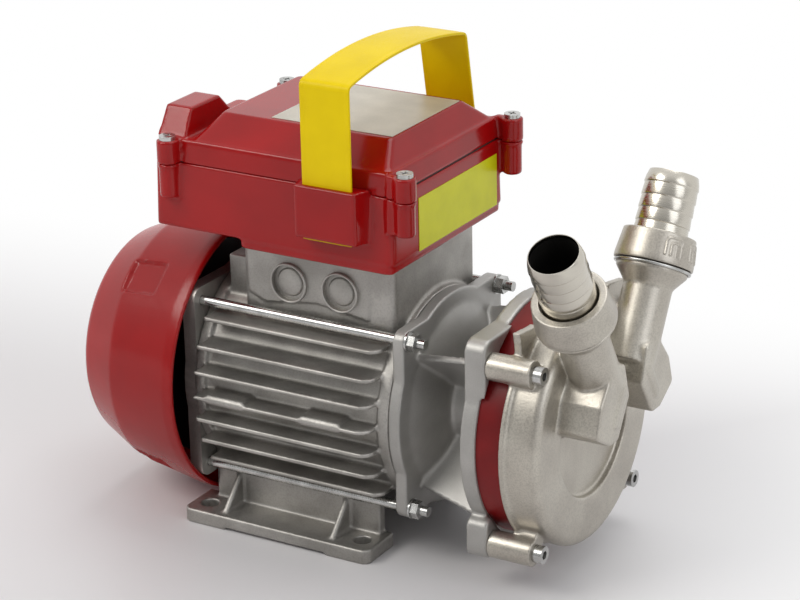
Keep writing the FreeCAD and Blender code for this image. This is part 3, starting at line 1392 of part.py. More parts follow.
def carrying_strap():
    body = new_body("carrying_strap")
    outer, thick = d.strap_outer_y, d.strap_thickness
    inner = outer - thick
    fold, foot = d.strap_fold_z, d.strap_end_z
    far_y, far_z = d.strap_far_fold_y, d.strap_far_fold_z
    bend = d.pocket_strap_high_z
    span = (outer + far_y) / 2
    arch = (span * span + d.strap_rise * d.strap_rise) / (2 * d.strap_rise)
    band = sketch_on(body, "band_section", "YZ_Plane", (0, 0, strap_x - d.strap_width / 2))
    add_outline(band, [
        (-outer, foot), (-outer, fold, -arch), (far_y, far_z), (outer, bend), (outer, foot), (inner, foot),
        (inner, bend), (far_y - thick, far_z - thick, arch - thick), (-inner, fold - thick), (-inner, foot)])
    pad(body, "band", band, d.strap_width)
    toes = sketch_on(body, "toe_section", "YZ_Plane", (0, 0, strap_x - d.strap_width / 2))
    lip = d.strap_end_lip
    for side in (-1, 1):
        ends = sorted((side * (inner - lip / 4), side * (outer + lip)), key=number_of)
        add_box(toes, ends[0], ends[1], foot - d.strap_toe_height, foot)
    pad(body, "toes", toes, d.strap_width)


# Pump head

def seal_plate():
    body = new_body("seal_plate")
    turned_ring(body, "plate", pump_flange_front, pump_rear, d.seal_bore_dia, d.seal_plate_dia)
    turned_ring(body, "chamber", seal_floor, pump_rear + JOINED, Size(0, "0"), d.seal_chamber_dia, "Groove")
    turned_ring(body, "seat_pocket", seal_floor - d.seal_seat_width / 2, seal_floor, Size(0, "0"),
                d.seal_seat_dia + 2 * d.running_clearance, "Groove")
    turned_ring(body, "o_ring_groove", pump_rear - d.oring_wire, pump_rear + JOINED,
                d.oring_ring_dia - d.oring_wire - 2 * d.seat_clearance,
                d.oring_ring_dia + d.oring_wire + 2 * d.seat_clearance, "Groove")


def port_plane(body, name, side):
    """A sketch in the plane of a port axis: its x is the radius, its y the distance from the shaft."""
    return sketch_on(body, name, "XZ_Plane", (port_x, 0, 0), side * d.port_angle)


def pump_body():
    body = new_body("pump_body")
    skin, rim = d.pump_dia / 2, d.pump_rim_dia / 2
    corner = d.pump_face_radius
    turn_profile(body, "case", [
        (pump_rear, 0), (pump_face, 0), (pump_face, skin - corner, corner), (pump_face - corner, skin),
        (pump_rear + d.pump_rim_width, skin), (pump_rear + d.pump_rim_width, rim), (pump_rear, rim)])
    recess_floor = pump_face - d.face_recess_depth
    turned_ring(body, "face_recess", recess_floor, pump_face + JOINED, Size(0, "0"), d.face_recess_dia,
                "Groove")

    # Screw columns that reach back to the adapter's ears, each tied to the case by a web
    half_web = d.column_web / 2
    webs = sketch_on(body, "web_outlines", "YZ_Plane", (0, 0, pump_rear))
    for y, z in screw_places():
        reach = root_of(y * y + z * z)
        across_y, across_z = half_web * z / reach, half_web * y / reach
        root_y, root_z = y * (skin - 3 * half_web) / reach, z * (skin - 3 * half_web) / reach
        add_outline(webs, [
            (root_y + across_y, root_z - across_z), (y + across_y, z - across_z), (y - across_y, z + across_z),
            (root_y - across_y, root_z + across_z)])
    pad(body, "webs", webs, d.pump_body_depth - d.column_setback)
    columns = sketch_on(body, "column_circles", "YZ_Plane", (0, 0, ear_front))
    for y, z in screw_places():
        add_circle(columns, y, z, d.column_dia)
    column_front = pump_face - d.column_setback
    pad(body, "columns", columns, column_front - ear_front)
    turned_ring(body, "plate_relief", ear_front - JOINED, pump_rear, Size(0, "0"),
                d.seal_plate_dia + 2 * d.hole_clearance, "Groove")
    seats = sketch_on(body, "screw_seat_circles", "YZ_Plane", (0, 0, column_front))
    for y, z in screw_places():
        add_circle(seats, y, z, d.pump_screw_head_dia + 2 * d.hole_clearance)
    cut(body, "screw_seats", seats, d.column_setback + JOINED)

    # Cast lugs beside the necks
    inner, root = d.lug_root, d.near_lug_heel_z - 2 * d.lug_thickness
    near_lug = sketch_on(body, "near_lug_outline", "YZ_Plane", (0, 0, pump_rear))
    add_outline(near_lug, [
        (-inner, root), (-inner, d.near_lug_inner_z), (-d.near_lug_inner_y, d.near_lug_inner_z),
        (-d.near_lug_outer_y, d.near_lug_outer_z), (-d.near_lug_heel_y, d.near_lug_heel_z),
        (-d.near_lug_heel_y, root)])
    pad(body, "near_lug", near_lug, d.lug_thickness)
    far_lug = sketch_on(body, "far_lug_outline", "YZ_Plane", (0, 0, pump_rear + d.far_lug_setback))
    add_outline(far_lug, [
        (inner, root - d.lug_thickness), (d.near_lug_heel_y, root - 2 * d.lug_thickness),
        (d.far_lug_heel_y, d.far_lug_heel_z), (d.far_lug_outer_y, d.far_lug_outer_z),
        (d.far_lug_inner_y, d.far_lug_inner_z), (inner, d.far_lug_inner_z)])
    pad(body, "far_lug", far_lug, d.lug_thickness)

    # Elbow blocks on the face and the necks that rise from them
    for side, name in ((1, "near"), (-1, "far")):
        block = sketch_on(body, f"{name}_block_outline", "YZ_Plane", (0, 0, recess_floor - JOINED))
        add_outline(block, [(-side * y, z) for y, z in (
            (d.block_outer_y, d.block_outer_z), (d.block_sump_y, d.block_low_z), (d.block_low_y, d.block_low_z),
            (d.block_inner_y, d.block_inner_z), (d.block_peak_y, d.block_peak_z), (d.block_heel_y, d.block_heel_z),
            (d.block_cheek_y, d.block_cheek_z))][::side])
        pad(body, f"{name}_block", block, d.block_reach + d.face_recess_depth + JOINED)
    block_front = number_of(pump_face + d.block_reach)
    floor_x = number_of(recess_floor)
    shortest = number_of(d.block_reach - d.lug_thickness)

    def is_block_side(edge):
        reach = abs(edge.Vertexes[-1].X - edge.Vertexes[0].X)
        return runs_along(edge, 0) and edge.CenterOfMass.x > floor_x and reach > shortest

    def is_block_front(edge):
        return edge.BoundBox.XMin > block_front - 1e-3

    round_edges(body, "block_sides", d.block_corner_radius, is_block_side)
    round_edges(body, "block_fronts", d.block_edge_radius, is_block_front)
    for side, name in ((1, "near"), (-1, "far")):
        neck = port_plane(body, f"{name}_neck_profile", side)
        slim, collar = d.neck_dia / 2, d.collar_dia / 2
        add_outline(neck, [
            (0, d.neck_low), (slim, d.neck_low), (slim, d.collar_low), (collar, d.collar_seat),
            (collar, d.collar_top), (d.spigot_dia / 2, d.collar_top), (d.spigot_dia / 2, d.spigot_top),
            (0, d.spigot_top)])
        turn(body, f"{name}_neck", neck, "V_Axis")
    for side, name in ((1, "near"), (-1, "far")):
        slot = sketch_on(body, f"{name}_rib_outline", "YZ_Plane", (0, 0, pump_face + d.block_reach - JOINED))
        add_slot(slot, (-side * d.lozenge_low_y, d.lozenge_low_z), (-side * d.lozenge_high_y, d.lozenge_high_z),
                 d.lozenge_width)
        pad(body, f"{name}_rib", slot, d.lozenge_rise + JOINED)

    # Wet passages
    chamber_end = pump_rear + d.chamber_depth
    turned_ring(body, "chamber", pump_rear - JOINED, chamber_end, Size(0, "0"), d.chamber_dia, "Groove")
    turned_ring(body, "side_channel", chamber_end - JOINED, chamber_end + d.channel_depth,
                d.channel_inner_dia, d.channel_outer_dia, "Groove")
    ports = sketch_on(body, "port_hole_circles", "YZ_Plane", (0, 0, chamber_end - JOINED))
    for side in (-1, 1):
        add_circle(ports, side * d.port_hole_y, d.port_hole_z, d.port_hole_dia)
    cut(body, "port_holes", ports, port_x - pump_rear - d.chamber_depth)
    for side, name in ((1, "near"), (-1, "far")):
        duct = port_plane(body, f"{name}_duct_profile", side)
        bore = d.duct_dia / 2
        add_box(duct, 0, bore, d.duct_low, d.spigot_top + JOINED)
        turn(body, f"{name}_duct", duct, "V_Axis", "Groove")
    shanks = sketch_on(body, "screw_hole_circles", "YZ_Plane", (0, 0, ear_front - JOINED))
    for y, z in screw_places():
        add_circle(shanks, y, z, d.pump_screw_dia + d.hole_clearance)
    cut(body, "screw_holes", shanks, pump_face - ear_front)


def port_body(label, side):
    """A body whose own Z runs up a port axis."""
    body = new_body(label)
    axis = FreeCAD.Vector(side, 0, 0)
    body.Placement = FreeCAD.Placement(FreeCAD.Vector(), FreeCAD.Rotation(axis, number_of(d.port_angle)))
    bind(body, "Placement.Base.x", port_x)
    bind(body, "Placement.Base.z", d.shaft_height)
    bind(body, "Placement.Rotation.Angle", d.port_angle)
    return body


def turn_port(body, name, points, kind="Revolution"):
    """Turns a profile of (radius, distance) points about a port axis."""
    profile = add_outline(sketch_on(body, f"{name}_profile", "XZ_Plane"), points)
    return turn(body, name, profile, "V_Axis", kind)


def port_fittings(name, side):
    tail = port_body(f"{name}_hose_tail", side)
    bore, flange, root = d.tail_bore_dia / 2, d.tail_flange_dia / 2, d.tail_root_dia / 2
    seat = d.spigot_top + d.port_gasket_thickness
    flange_top = d.nut_lip_low - d.seat_clearance
    first = d.tail_mouth - d.barb_count * d.barb_pitch
    profile = [(bore, seat), (flange, seat), (flange, flange_top), (root, flange_top)]
    for barb in range(int(number_of(d.barb_count))):
        low = first + barb * d.barb_pitch
        profile += [(root, low), (d.barb_dia / 2, low + JOINED)]
    profile += [(d.tail_mouth_dia / 2, d.tail_mouth), (bore, d.tail_mouth)]
    turn_port(tail, "tube", profile)

    nut = port_body(f"{name}_ring_nut", side)
    inner = d.spigot_dia / 2 + d.running_clearance
    lower, upper, lip = d.nut_lower_dia / 2, d.nut_upper_dia / 2, d.nut_lip_dia / 2
    turn_port(nut, "ring", [
        (inner, d.nut_bottom), (lower, d.nut_bottom), (lower, d.nut_shoulder), (upper, d.nut_top),
        (d.nut_recess_dia / 2, d.nut_top), (d.nut_recess_dia / 2, d.nut_lip_high), (lip, d.nut_lip_high),
        (lip, d.nut_lip_low), (inner, d.nut_lip_low)])
    ribs = sketch_on(nut, "rib_outline", "XZ_Plane")
    add_box(ribs, lower - 2 * JOINED, lower + d.nut_rib_rise, d.nut_rib_low, d.nut_rib_high)
    rib = pad(nut, "rib", ribs, d.nut_rib_width, symmetric=True)
    copies = feature(nut, "PolarPattern", "ribs")
    copies.Originals = [rib]
    copies.Axis = (origin_feature(nut, "Z_Axis"), [""])
    copies.Angle = 360.0
    copies.Occurrences = int(number_of(d.nut_rib_count))
    bind(copies, "Occurrences", d.nut_rib_count)
    nut.Tip = copies

    clip = port_body(f"{name}_nut_clip", side)
    ring = sketch_on(clip, "wire_circle", "XZ_Plane")
    wire = d.clip_wire_dia
    add_circle(ring, (d.collar_dia + wire) / 2, d.collar_top - wire / 2, wire)
    turn(clip, "wire", ring, "V_Axis")
    gasket = port_body(f"{name}_port_gasket", side)
    bottom = d.spigot_top
    turn_port(gasket, "ring", [
        (d.tail_bore_dia / 2, bottom), (d.tail_flange_dia / 2, bottom), (d.tail_flange_dia / 2, seat),
        (d.tail_bore_dia / 2, seat)])


def impeller():
    body = new_body("impeller")
    hub = d.impeller_hub_dia / 2
    middle = (impeller_rear + impeller_front) / 2
    web = d.impeller_web / 2
    turn_profile(body, "hub", [
        (impeller_rear, 0), (impeller_front, 0), (impeller_front, hub), (middle + web, hub),
        (middle + web, d.impeller_web_dia / 2), (middle - web, d.impeller_web_dia / 2), (middle - web, hub),
        (impeller_rear, hub)])
    vane = sketch_on(body, "vane_outline", "XZ_Plane")
    add_box(vane, impeller_rear, impeller_front, hub - JOINED, d.impeller_dia / 2)
    polar_copies(body, "vanes", pad(body, "vane", vane, d.vane_thickness, symmetric=True), d.impeller_vanes)
    turned_ring(body, "shaft_bore", impeller_rear - JOINED, impeller_front + JOINED, Size(0, "0"), d.pump_shaft_dia,
                "Groove")
    keyway = sketch_on(body, "keyway_outline", "XY_Plane")
    add_box(keyway, impeller_rear - JOINED, impeller_front + JOINED, -d.key_width / 2, d.key_width / 2)
    cut(body, "keyway", keyway, d.pump_shaft_dia / 2 + d.key_height / 2)
    key = new_body("impeller_key")
    bar = sketch_on(key, "bar_outline", "XY_Plane", (0, 0, d.pump_shaft_dia / 2 - d.key_height / 2))
    add_box(bar, impeller_rear + d.axial_clearance, impeller_front, -d.key_width / 2, d.key_width / 2)
    pad(key, "bar", bar, d.key_height)


def shaft_seal():
    seat_rear = seal_floor - d.seal_seat_width / 2
    seat_front = seat_rear + d.seal_seat_width
    turned_ring(new_body("seal_seat"), "ring", seat_rear, seat_front, d.pump_shaft_dia + 2 * d.axial_clearance,
                d.seal_seat_dia)
    head_front = seat_front + d.seal_head_width
    turned_ring(new_body("seal_head"), "ring", seat_front, head_front, d.pump_shaft_dia, d.seal_head_dia)
    bellows = new_body("seal_bellows")
    thin, crest = d.pump_shaft_dia / 2, d.seal_head_dia / 2 - d.seal_spring_wire
    span = impeller_rear - head_front
    turn_profile(bellows, "sleeve", [
        (head_front, thin), (impeller_rear, thin), (impeller_rear, crest - d.seal_spring_wire),
        (impeller_rear - span / 4, crest), (impeller_rear - span / 2, crest - d.seal_spring_wire),
        (impeller_rear - 3 * span / 4, crest), (head_front, crest - d.seal_spring_wire)])
    ring = new_body("casing_o_ring")
    wire = sketch_on(ring, "wire_circle", "XZ_Plane")
    add_circle(wire, pump_rear - d.oring_wire / 2, d.oring_ring_dia / 2, d.oring_wire)
    turn(ring, "torus", wire)


def pump_screws():
    body = new_body("pump_screws")
    seat = pump_face - d.column_setback
    shanks = sketch_on(body, "shank_circles", "YZ_Plane", (0, 0, pump_flange_rear + d.tap_floor + JOINED))
    heads = sketch_on(body, "head_circles", "YZ_Plane", (0, 0, seat))
    socket_floor = seat + d.pump_screw_head_height - d.socket_depth
    sockets = sketch_on(body, "socket_hexagons", "YZ_Plane", (0, 0, socket_floor))
    for y, z in screw_places():
        add_circle(shanks, y, z, d.pump_screw_dia)
        add_circle(heads, y, z, d.pump_screw_head_dia)
        add_hexagon(sockets, y, z, d.socket_flats)
    pad(body, "shanks", shanks, seat - pump_flange_rear - d.tap_floor)
    pad(body, "heads", heads, d.pump_screw_head_height)
    cut(body, "sockets", sockets, d.pump_screw_head_height)


motor_housing()
rear_end_shield()
fan_cover()
tie_rods()
tie_rod_nuts()
tie_rod_washers()
stator_and_rotor()
motor_shaft()
bearings()
cooling_fan()
front_adapter()
slinger()
terminal_box_base()
terminal_box_lid()
lid_gasket()
lid_screws()
box_screws()
box_contents()
reversing_switch()
cable_gland()
labels()
carrying_strap()
seal_plate()
pump_body()
port_fittings("near", 1)
port_fittings("far", -1)
impeller()
shaft_seal()
pump_screws()

doc.recompute()
for item in doc.Objects:
    if "Invalid" in item.State or "Error" in item.State:
        raise RuntimeError(f"{item.Label} did not build")
os.makedirs("parts", exist_ok=True)
for body in bodies:
    shape = body.Shape
    if shape.isNull() or not shape.isValid():
        raise RuntimeError(f"{body.Label} has no sound shape")
    shape.exportStep(f"parts/{body.Label}.step")
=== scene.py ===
"""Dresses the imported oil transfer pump: finishes, fine surfaces, studio and camera.

Works in metres in the row's frame: +X along the shaft towards the pump head, +Z up, the origin on
the sole of the foot below the shaft. The near side is the camera's, at -Y, and the far side is behind.
Sizes of settings, profiles and finishes are in millimetres and are turned to metres here.
"""

import json
import math

import bmesh
import bpy
import numpy as np
from bpy.props import FloatProperty, FloatVectorProperty, IntProperty, PointerProperty
from mathutils import Matrix, Vector


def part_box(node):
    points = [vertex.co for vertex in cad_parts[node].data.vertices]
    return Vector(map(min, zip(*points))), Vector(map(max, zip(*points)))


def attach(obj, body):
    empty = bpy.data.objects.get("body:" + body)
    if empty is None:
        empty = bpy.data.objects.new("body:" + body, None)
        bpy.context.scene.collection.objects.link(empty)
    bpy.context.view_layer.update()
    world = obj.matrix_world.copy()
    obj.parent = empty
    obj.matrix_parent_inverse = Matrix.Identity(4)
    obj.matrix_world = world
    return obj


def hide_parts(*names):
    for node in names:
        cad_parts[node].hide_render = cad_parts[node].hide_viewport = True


bl_info = {
    "name": "Oil transfer pump",
    "version": (1, 0, 0),
    "blender": (4, 5, 0),
    "location": "3D View > Sidebar > Pump",
    "description": "Dresses the packed oil transfer pump and sets up its studio",
    "category": "Object",
}

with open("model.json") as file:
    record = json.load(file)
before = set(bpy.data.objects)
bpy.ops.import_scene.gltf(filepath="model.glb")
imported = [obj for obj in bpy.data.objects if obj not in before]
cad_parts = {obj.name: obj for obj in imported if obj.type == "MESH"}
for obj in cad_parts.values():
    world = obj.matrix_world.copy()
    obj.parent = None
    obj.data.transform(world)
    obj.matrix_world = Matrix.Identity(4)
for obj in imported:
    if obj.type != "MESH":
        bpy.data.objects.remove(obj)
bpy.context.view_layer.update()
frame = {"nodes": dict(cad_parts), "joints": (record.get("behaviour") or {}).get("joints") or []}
JOINTS = {joint["name"]: joint for joint in frame["joints"]}
PORT_PLACE = Vector(JOINTS["near_nut_turn"]["pos_m"])
NEAR_AXIS = Vector(JOINTS["near_nut_turn"]["axis"])
FAR_AXIS = Vector(JOINTS["far_nut_turn"]["axis"])
SHAFT_AXIS = Vector(JOINTS["rotor_spin"]["axis"])
UPRIGHT = Vector((0, 0, 1))

MM = 0.001
# Points nearer than this, in metres, are merged
MERGE_DISTANCE = 1e-6
# An edge that turns by more is shaded sharp
SHARP_ANGLE = math.radians(32)
# A skin keeps at most this many triangles, because past 200,000 its STL file is thinned
MOST_TRIANGLES = 190000
# Most of a noise texture's values lie between these two
NOISE_LOW, NOISE_HIGH = 0.35, 0.65
# Grain values at which a dark speckle starts and is full
SPECKLE_START, SPECKLE_FULL = 0.58, 0.36
# Pointiness, 0.5 on flat places, at which the pale ridges start and are full: partly rubbed wear, partly
# painted highlight
RUB_AND_HIGHLIGHT_START, RUB_AND_HIGHLIGHT_FULL = 0.53, 0.62
# Places of a colour Mix node's sockets: its share, its two colours and its result
SHARE, FIRST, SECOND, MIXED = 0, 6, 7, 2
# What the lamps look at, in metres
PUMP_MIDDLE = Vector((0.04, 0, 0.12))


# Colours, settings and nodes

def linear(code):
    """Linear RGBA of an sRGB hex colour."""
    parts = [int(code[index:index + 2], 16) / 255 for index in (0, 2, 4)]
    return tuple(p / 12.92 if p <= 0.04045 else ((p + 0.055) / 1.055) ** 2.4 for p in parts) + (1.0,)


def colour(name, code, use):
    """A colour as a setting, whose default is an sRGB hex value."""
    return FloatVectorProperty(name=name, description=use, subtype="COLOR", size=4, min=0, max=1,
                               default=linear(code))


def length(name, value, use, low=0.0):
    """A size as a setting, in the unit that Blender gives to cameras, which is the millimetre."""
    return FloatProperty(name=name, description=use, default=value, min=low, soft_max=300, unit="CAMERA")


def angle(name, value, use, low=0.0):
    """An angle as a setting, in radians."""
    return FloatProperty(name=name, description=use, default=value, min=low, max=math.tau, subtype="ANGLE")


def number(name, value, use, low, high):
    """A whole number as a setting."""
    return IntProperty(name=name, description=use, default=value, min=low, max=high)


def power(name, value, use):
    """A lamp's power as a setting, in watts."""
    return FloatProperty(name=name, description=use, default=value, min=0, unit="POWER")


def per_mm(size):
    """Texture scale whose features measure about size millimetres."""
    return 1 / (size * MM)


def add_node(tree, kind, sockets=None, **settings):
    """Adds a shader node, sets its settings, and sets or links its input sockets."""
    item = tree.nodes.new(f"ShaderNode{kind}")
    for name, value in settings.items():
        setattr(item, name, value)
    for name, value in (sockets or {}).items():
        if isinstance(value, bpy.types.NodeSocket):
            tree.links.new(value, item.inputs[name])
        else:
            item.inputs[name].default_value = value
    return item


# Settings, shown in the sidebar

class FinishSettings(bpy.types.PropertyGroup):
    """Colours of the finishes that the eye meets first."""

    red: colour("Red moulding", "a30c0d", "Fan cover and terminal box")
    red_shade: colour("Red moulding, deeper", "930a0b", "Cloudy variation in the red mouldings")
    seal_red: colour("Red paint", "7d060a", "Painted plate between pump and adapter")
    band_yellow: colour("Yellow band", "f0d204", "Carrying strap")
    label_yellow: colour("Yellow film", "dede18", "Bare warning place on the box")
    label_silver: colour("Silver film", "c9c3b6", "Bare rating place on the lid")
    barrel: colour("Barrel aluminium", "b6b3ae", "Motor housing and rear shield")
    barrel_shade: colour("Barrel aluminium, deeper", "9b9893", "Cloudy variation in the barrel")
    adapter: colour("Blasted aluminium", "b3b1ad", "Lantern between motor and pump")
    adapter_shade: colour("Blasted aluminium, deeper", "a19f9b", "Cloudy variation in the lantern")
    nickel: colour("Satin nickel", "c4bfb4", "Pump casing and ring nuts")
    nickel_shade: colour("Satin nickel, deeper", "b5afa5", "Cloudy variation in the casing")
    bright_nickel: colour("Bright nickel", "c3beb4", "Hose tails")
    zinc: colour("Zinc plate", "c8c8c6", "Rods, nuts and screws")
    black: colour("Black moulding", "17181a", "Switch, gland and fan")


class SkinSettings(bpy.types.PropertyGroup):
    """How far the corners of cast and moulded pieces are rounded."""

    fine_grid: length("Fine grid", 0.7, "Grid on which the pump casting is remeshed", 0.3)
    grid: length("Grid", 0.8, "Grid on which the box's lid is remeshed", 0.3)
    coarse_grid: length("Coarse grid", 0.9, "Grid on which the larger skins are remeshed", 0.3)
    casting_passes: number("Casting passes", 1, "Smoothing passes on castings", 0, 40)
    fill_passes: number("Fill passes", 8, "Passes that fill the roots of castings", 0, 80)
    moulding_passes: number("Moulding passes", 3, "Smoothing passes on mouldings", 0, 40)
    flat_angle: angle("Flat angle", 0.012, "Faces of the finned barrel that turn by less are joined")


class KnockoutSettings(bpy.types.PropertyGroup):
    """The cable knock-outs on the sides of the pedestal."""

    first_x: length("First place", 3.5, "Place of the first knock-out along the shaft")
    second_x: length("Second place", 32.5, "Place of the second knock-out along the shaft")
    height: length("Height", 133.0, "Height of the knock-outs over the sole")
    face: length("Face", 42.4, "Distance of the rim from the middle plane")
    radius: length("Radius", 10.2, "Outer radius of the cup", 1.0)
    wall: length("Wall", 1.1, "Width of the rim", 0.2)
    depth: length("Depth", 2.8, "Depth of the cup under its rim", 0.5)
    floor: length("Floor", 0.4, "Thickness of the cup's floor", 0.1)
    disc: length("Disc", 6.8, "Radius of the disc that is knocked out", 1.0)


class StrapSettings(bpy.types.PropertyGroup):
    """The carrying strap."""

    thickness: length("Thickness", 1.6, "Thickness of the band", 0.2)
    near_y: length("Near leg", 59.0, "Middle of the near leg, from the middle plane")
    far_y: length("Far leg", 59.0, "Middle of the far leg, from the middle plane")
    far_fold_y: length("Far fold", 50.2, "Middle of the far fold, from the middle plane")
    near_fold_z: length("Near fold height", 242.0, "Height of the fold over the near leg")
    far_fold_z: length("Far fold height", 240.5, "Height of the fold over the far leg")
    bend_z: length("Bend height", 192.3, "Height at which the far leg starts to lean in")
    end_z: length("End height", 165.7, "Height of the lower ends")
    rise: length("Rise", 6.2, "Rise of the arch over the line of the folds")
    fold_radius: length("Fold radius", 2.2, "Radius of the folds", 0.5)
    bead: length("Bead", 1.0, "Extra half thickness of the beads on the lower ends")
    groove: length("Groove", 0.14, "Depth of the two grooves along the band")


class TailSettings(bpy.types.PropertyGroup):
    """The hose tails."""

    segments: number("Segments", 160, "Steps round the turned pieces", 16, 512)
    seat: length("Seat", 86.0, "Distance of the flange's seat from the shaft")
    flange: length("Flange radius", 15.1, "Radius of the clamped flange")
    flange_top: length("Flange top", 88.1, "Distance of the flange's top from the shaft")
    bore: length("Bore radius", 11.5, "Radius of the bore")
    root: length("Root radius", 13.0, "Radius between the barbs")
    barb: length("Barb radius", 13.4, "Radius of the barbs")
    mouth: length("Mouth", 125.3, "Distance of the mouth from the shaft")
    pitch: length("Barb pitch", 6.3, "Distance between barbs", 1.0)
    barbs: number("Barbs", 5, "Barbs on each tail, with the collar", 1, 9)
    nose: length("Nose", 3.4, "Length of the part that narrows to the mouth")
    taper: length("Taper", 0.9, "How far the radius falls over the nose")


class NutSettings(bpy.types.PropertyGroup):
    """The ring nuts."""

    bottom: length("Bottom", 80.4, "Distance of the lower edge from the shaft")
    shoulder: length("Shoulder", 83.0, "Distance at which the cone starts")
    top: length("Top", 95.6, "Distance of the rim from the shaft")
    foot_radius: length("Foot radius", 19.4, "Radius at the lower edge")
    rim_radius: length("Rim radius", 17.8, "Radius at the rim")
    bore: length("Bore radius", 15.55, "Radius round the neck")
    recess: length("Recess radius", 14.0, "Radius of the recess in the rim")
    recess_floor: length("Recess floor", 90.8, "Distance of the recess's floor from the shaft")
    lip: length("Lip radius", 13.7, "Radius of the lip that clamps the tail")
    lip_bottom: length("Lip bottom", 88.2, "Distance of the lip's lower side from the shaft")
    near_marks: angle("Near marks", math.radians(140), "Place of the marks round the near nut")
    far_marks: angle("Far marks", math.radians(320), "Place of the marks round the far nut")
    mark_pitch: angle("Mark pitch", math.radians(45), "Angle between a nut's two marks", 0.1)
    mark_start: length("Mark start", 1.5, "Distance of the marks' feet from the shoulder")
    mark_height: length("Mark height", 8.5, "Height of the outer arch over its feet")
    mark_outer: length("Outer arch", 4.2, "Half width of a mark's outer arch")
    mark_inner: length("Inner arch", 1.7, "Half width of a mark's inner arch")
    mark_ridge: length("Ridge", 0.6, "Half width of the ridge along each arch", 0.1)
    mark_rise: length("Mark rise", 0.45, "Height of the ridges over the nut's side")


class StageSettings(bpy.types.PropertyGroup):
    """The camera and lights, as fitted to the photograph."""

    camera_place: FloatVectorProperty(name="Camera place", description="Place of the camera",
                                      subtype="TRANSLATION", default=(0.67544, -1.05604, 0.59353))
    camera_turn: FloatVectorProperty(name="Camera turn", description="Azimuth, elevation and roll",
                                     unit="ROTATION", default=[math.radians(30.99), math.radians(21.16),
                                                               math.radians(-1.22)])
    lens: FloatProperty(name="Lens", description="Focal length", default=121.17, min=20, max=400,
                        unit="CAMERA")
    floor_reach: FloatProperty(name="Floor reach", description="Half length of the sweep", default=6.0,
                               min=1, max=20, unit="LENGTH")
    floor: colour("Floor", "e7e4e4", "Paper sweep under and behind the pump")
    key_power: power("Key light", 15.0, "Power of the big light on the upper left")
    fill_power: power("Fill light", 5.0, "Power of the light on the right")
    top_power: power("Top light", 8.0, "Power of the light above")
    world_power: FloatProperty(name="Surroundings", description="Strength of the pale surroundings",
                               default=0.5, min=0)


# Finishes

def new_tree(name):
    """A material of this name with an empty node tree, its output and shader."""
    material = bpy.data.materials.new(name)
    material.use_nodes = True
    tree = material.node_tree
    tree.nodes.clear()
    shader = add_node(tree, "BsdfPrincipled")
    add_node(tree, "OutputMaterial", {"Surface": shader.outputs["BSDF"]})
    return material, tree, shader


def make_finish(name, light, dark, rough, patch, grain, relief, edge=0.0, along=None, rub_and_highlight=0.0, speckle=0.0,
                **constants):
    """One finish: a cloudy tone, a fine grain that moves roughness and relief, and rolled edges.

    patch, grain, relief and edge are in millimetres. The tone goes from light to dark in clouds of about
    patch, and the grain moves roughness between rough's two values. With along, the grain is rings square
    to it, as a turning tool leaves. edge rolls edges, and a skin has none. rub_and_highlight paints ridges
    pale, which is partly rubbed wear and partly a painted highlight. speckle darkens the grain's low spots,
    and constants go to the shader's sockets.
    """
    material, tree, shader = new_tree(name)
    where = add_node(tree, "TexCoord").outputs["Object"]
    clouds = add_node(tree, "TexNoise", {"Vector": where, "Scale": per_mm(patch), "Detail": 4.0})
    if along is None:
        grains = add_node(tree, "TexNoise", {"Vector": where, "Scale": per_mm(grain), "Detail": 2.0})
    else:
        place = add_node(tree, "VectorMath", {0: where, 1: tuple(along)}, operation="DOT_PRODUCT")
        grains = add_node(tree, "TexNoise", {"W": place.outputs["Value"], "Scale": per_mm(grain),
                                             "Detail": 2.0}, noise_dimensions="1D")
    spread = add_node(tree, "MapRange", {"Value": clouds.outputs["Fac"], "From Min": NOISE_LOW,
                                         "From Max": NOISE_HIGH})
    tone = add_node(tree, "Mix", {SHARE: spread.outputs["Result"], FIRST: light, SECOND: dark},
                    data_type="RGBA")
    sheen = add_node(tree, "MapRange", {"Value": grains.outputs["Fac"], "From Min": NOISE_LOW,
                                        "From Max": NOISE_HIGH, "To Min": rough[0], "To Max": rough[1]})
    height = add_node(tree, "Bump", {"Height": grains.outputs["Fac"], "Distance": relief * MM})
    if edge:
        rolled = add_node(tree, "Bevel", {"Radius": edge * MM}, samples=4)
        tree.links.new(rolled.outputs["Normal"], height.inputs["Normal"])
    spots = (grains, "Fac", SPECKLE_START, SPECKLE_FULL, speckle, "4a4743")
    # Pale ridges where the surface is pointed: partly rubbed wear, partly a painted highlight on edges that
    # catch the light
    rubbed_and_highlit_ridges = (add_node(tree, "NewGeometry"), "Pointiness", RUB_AND_HIGHLIGHT_START, RUB_AND_HIGHLIGHT_FULL, rub_and_highlight, "d9d6d0")
    for source, output, start, full, most, code in (spots, rubbed_and_highlit_ridges):
        share = add_node(tree, "MapRange", {"Value": source.outputs[output], "From Min": start,
                                            "From Max": full, "To Max": most})
        tone = add_node(tree, "Mix", {SHARE: share.outputs["Result"], FIRST: tone.outputs[MIXED],
                                      SECOND: linear(code)}, data_type="RGBA")
    tree.links.new(tone.outputs[MIXED], shader.inputs["Base Color"])
    tree.links.new(sheen.outputs["Result"], shader.inputs["Roughness"])
    tree.links.new(height.outputs["Normal"], shader.inputs["Normal"])
    for socket, value in constants.items():
        shader.inputs[socket.replace("_", " ")].default_value = value
    return material


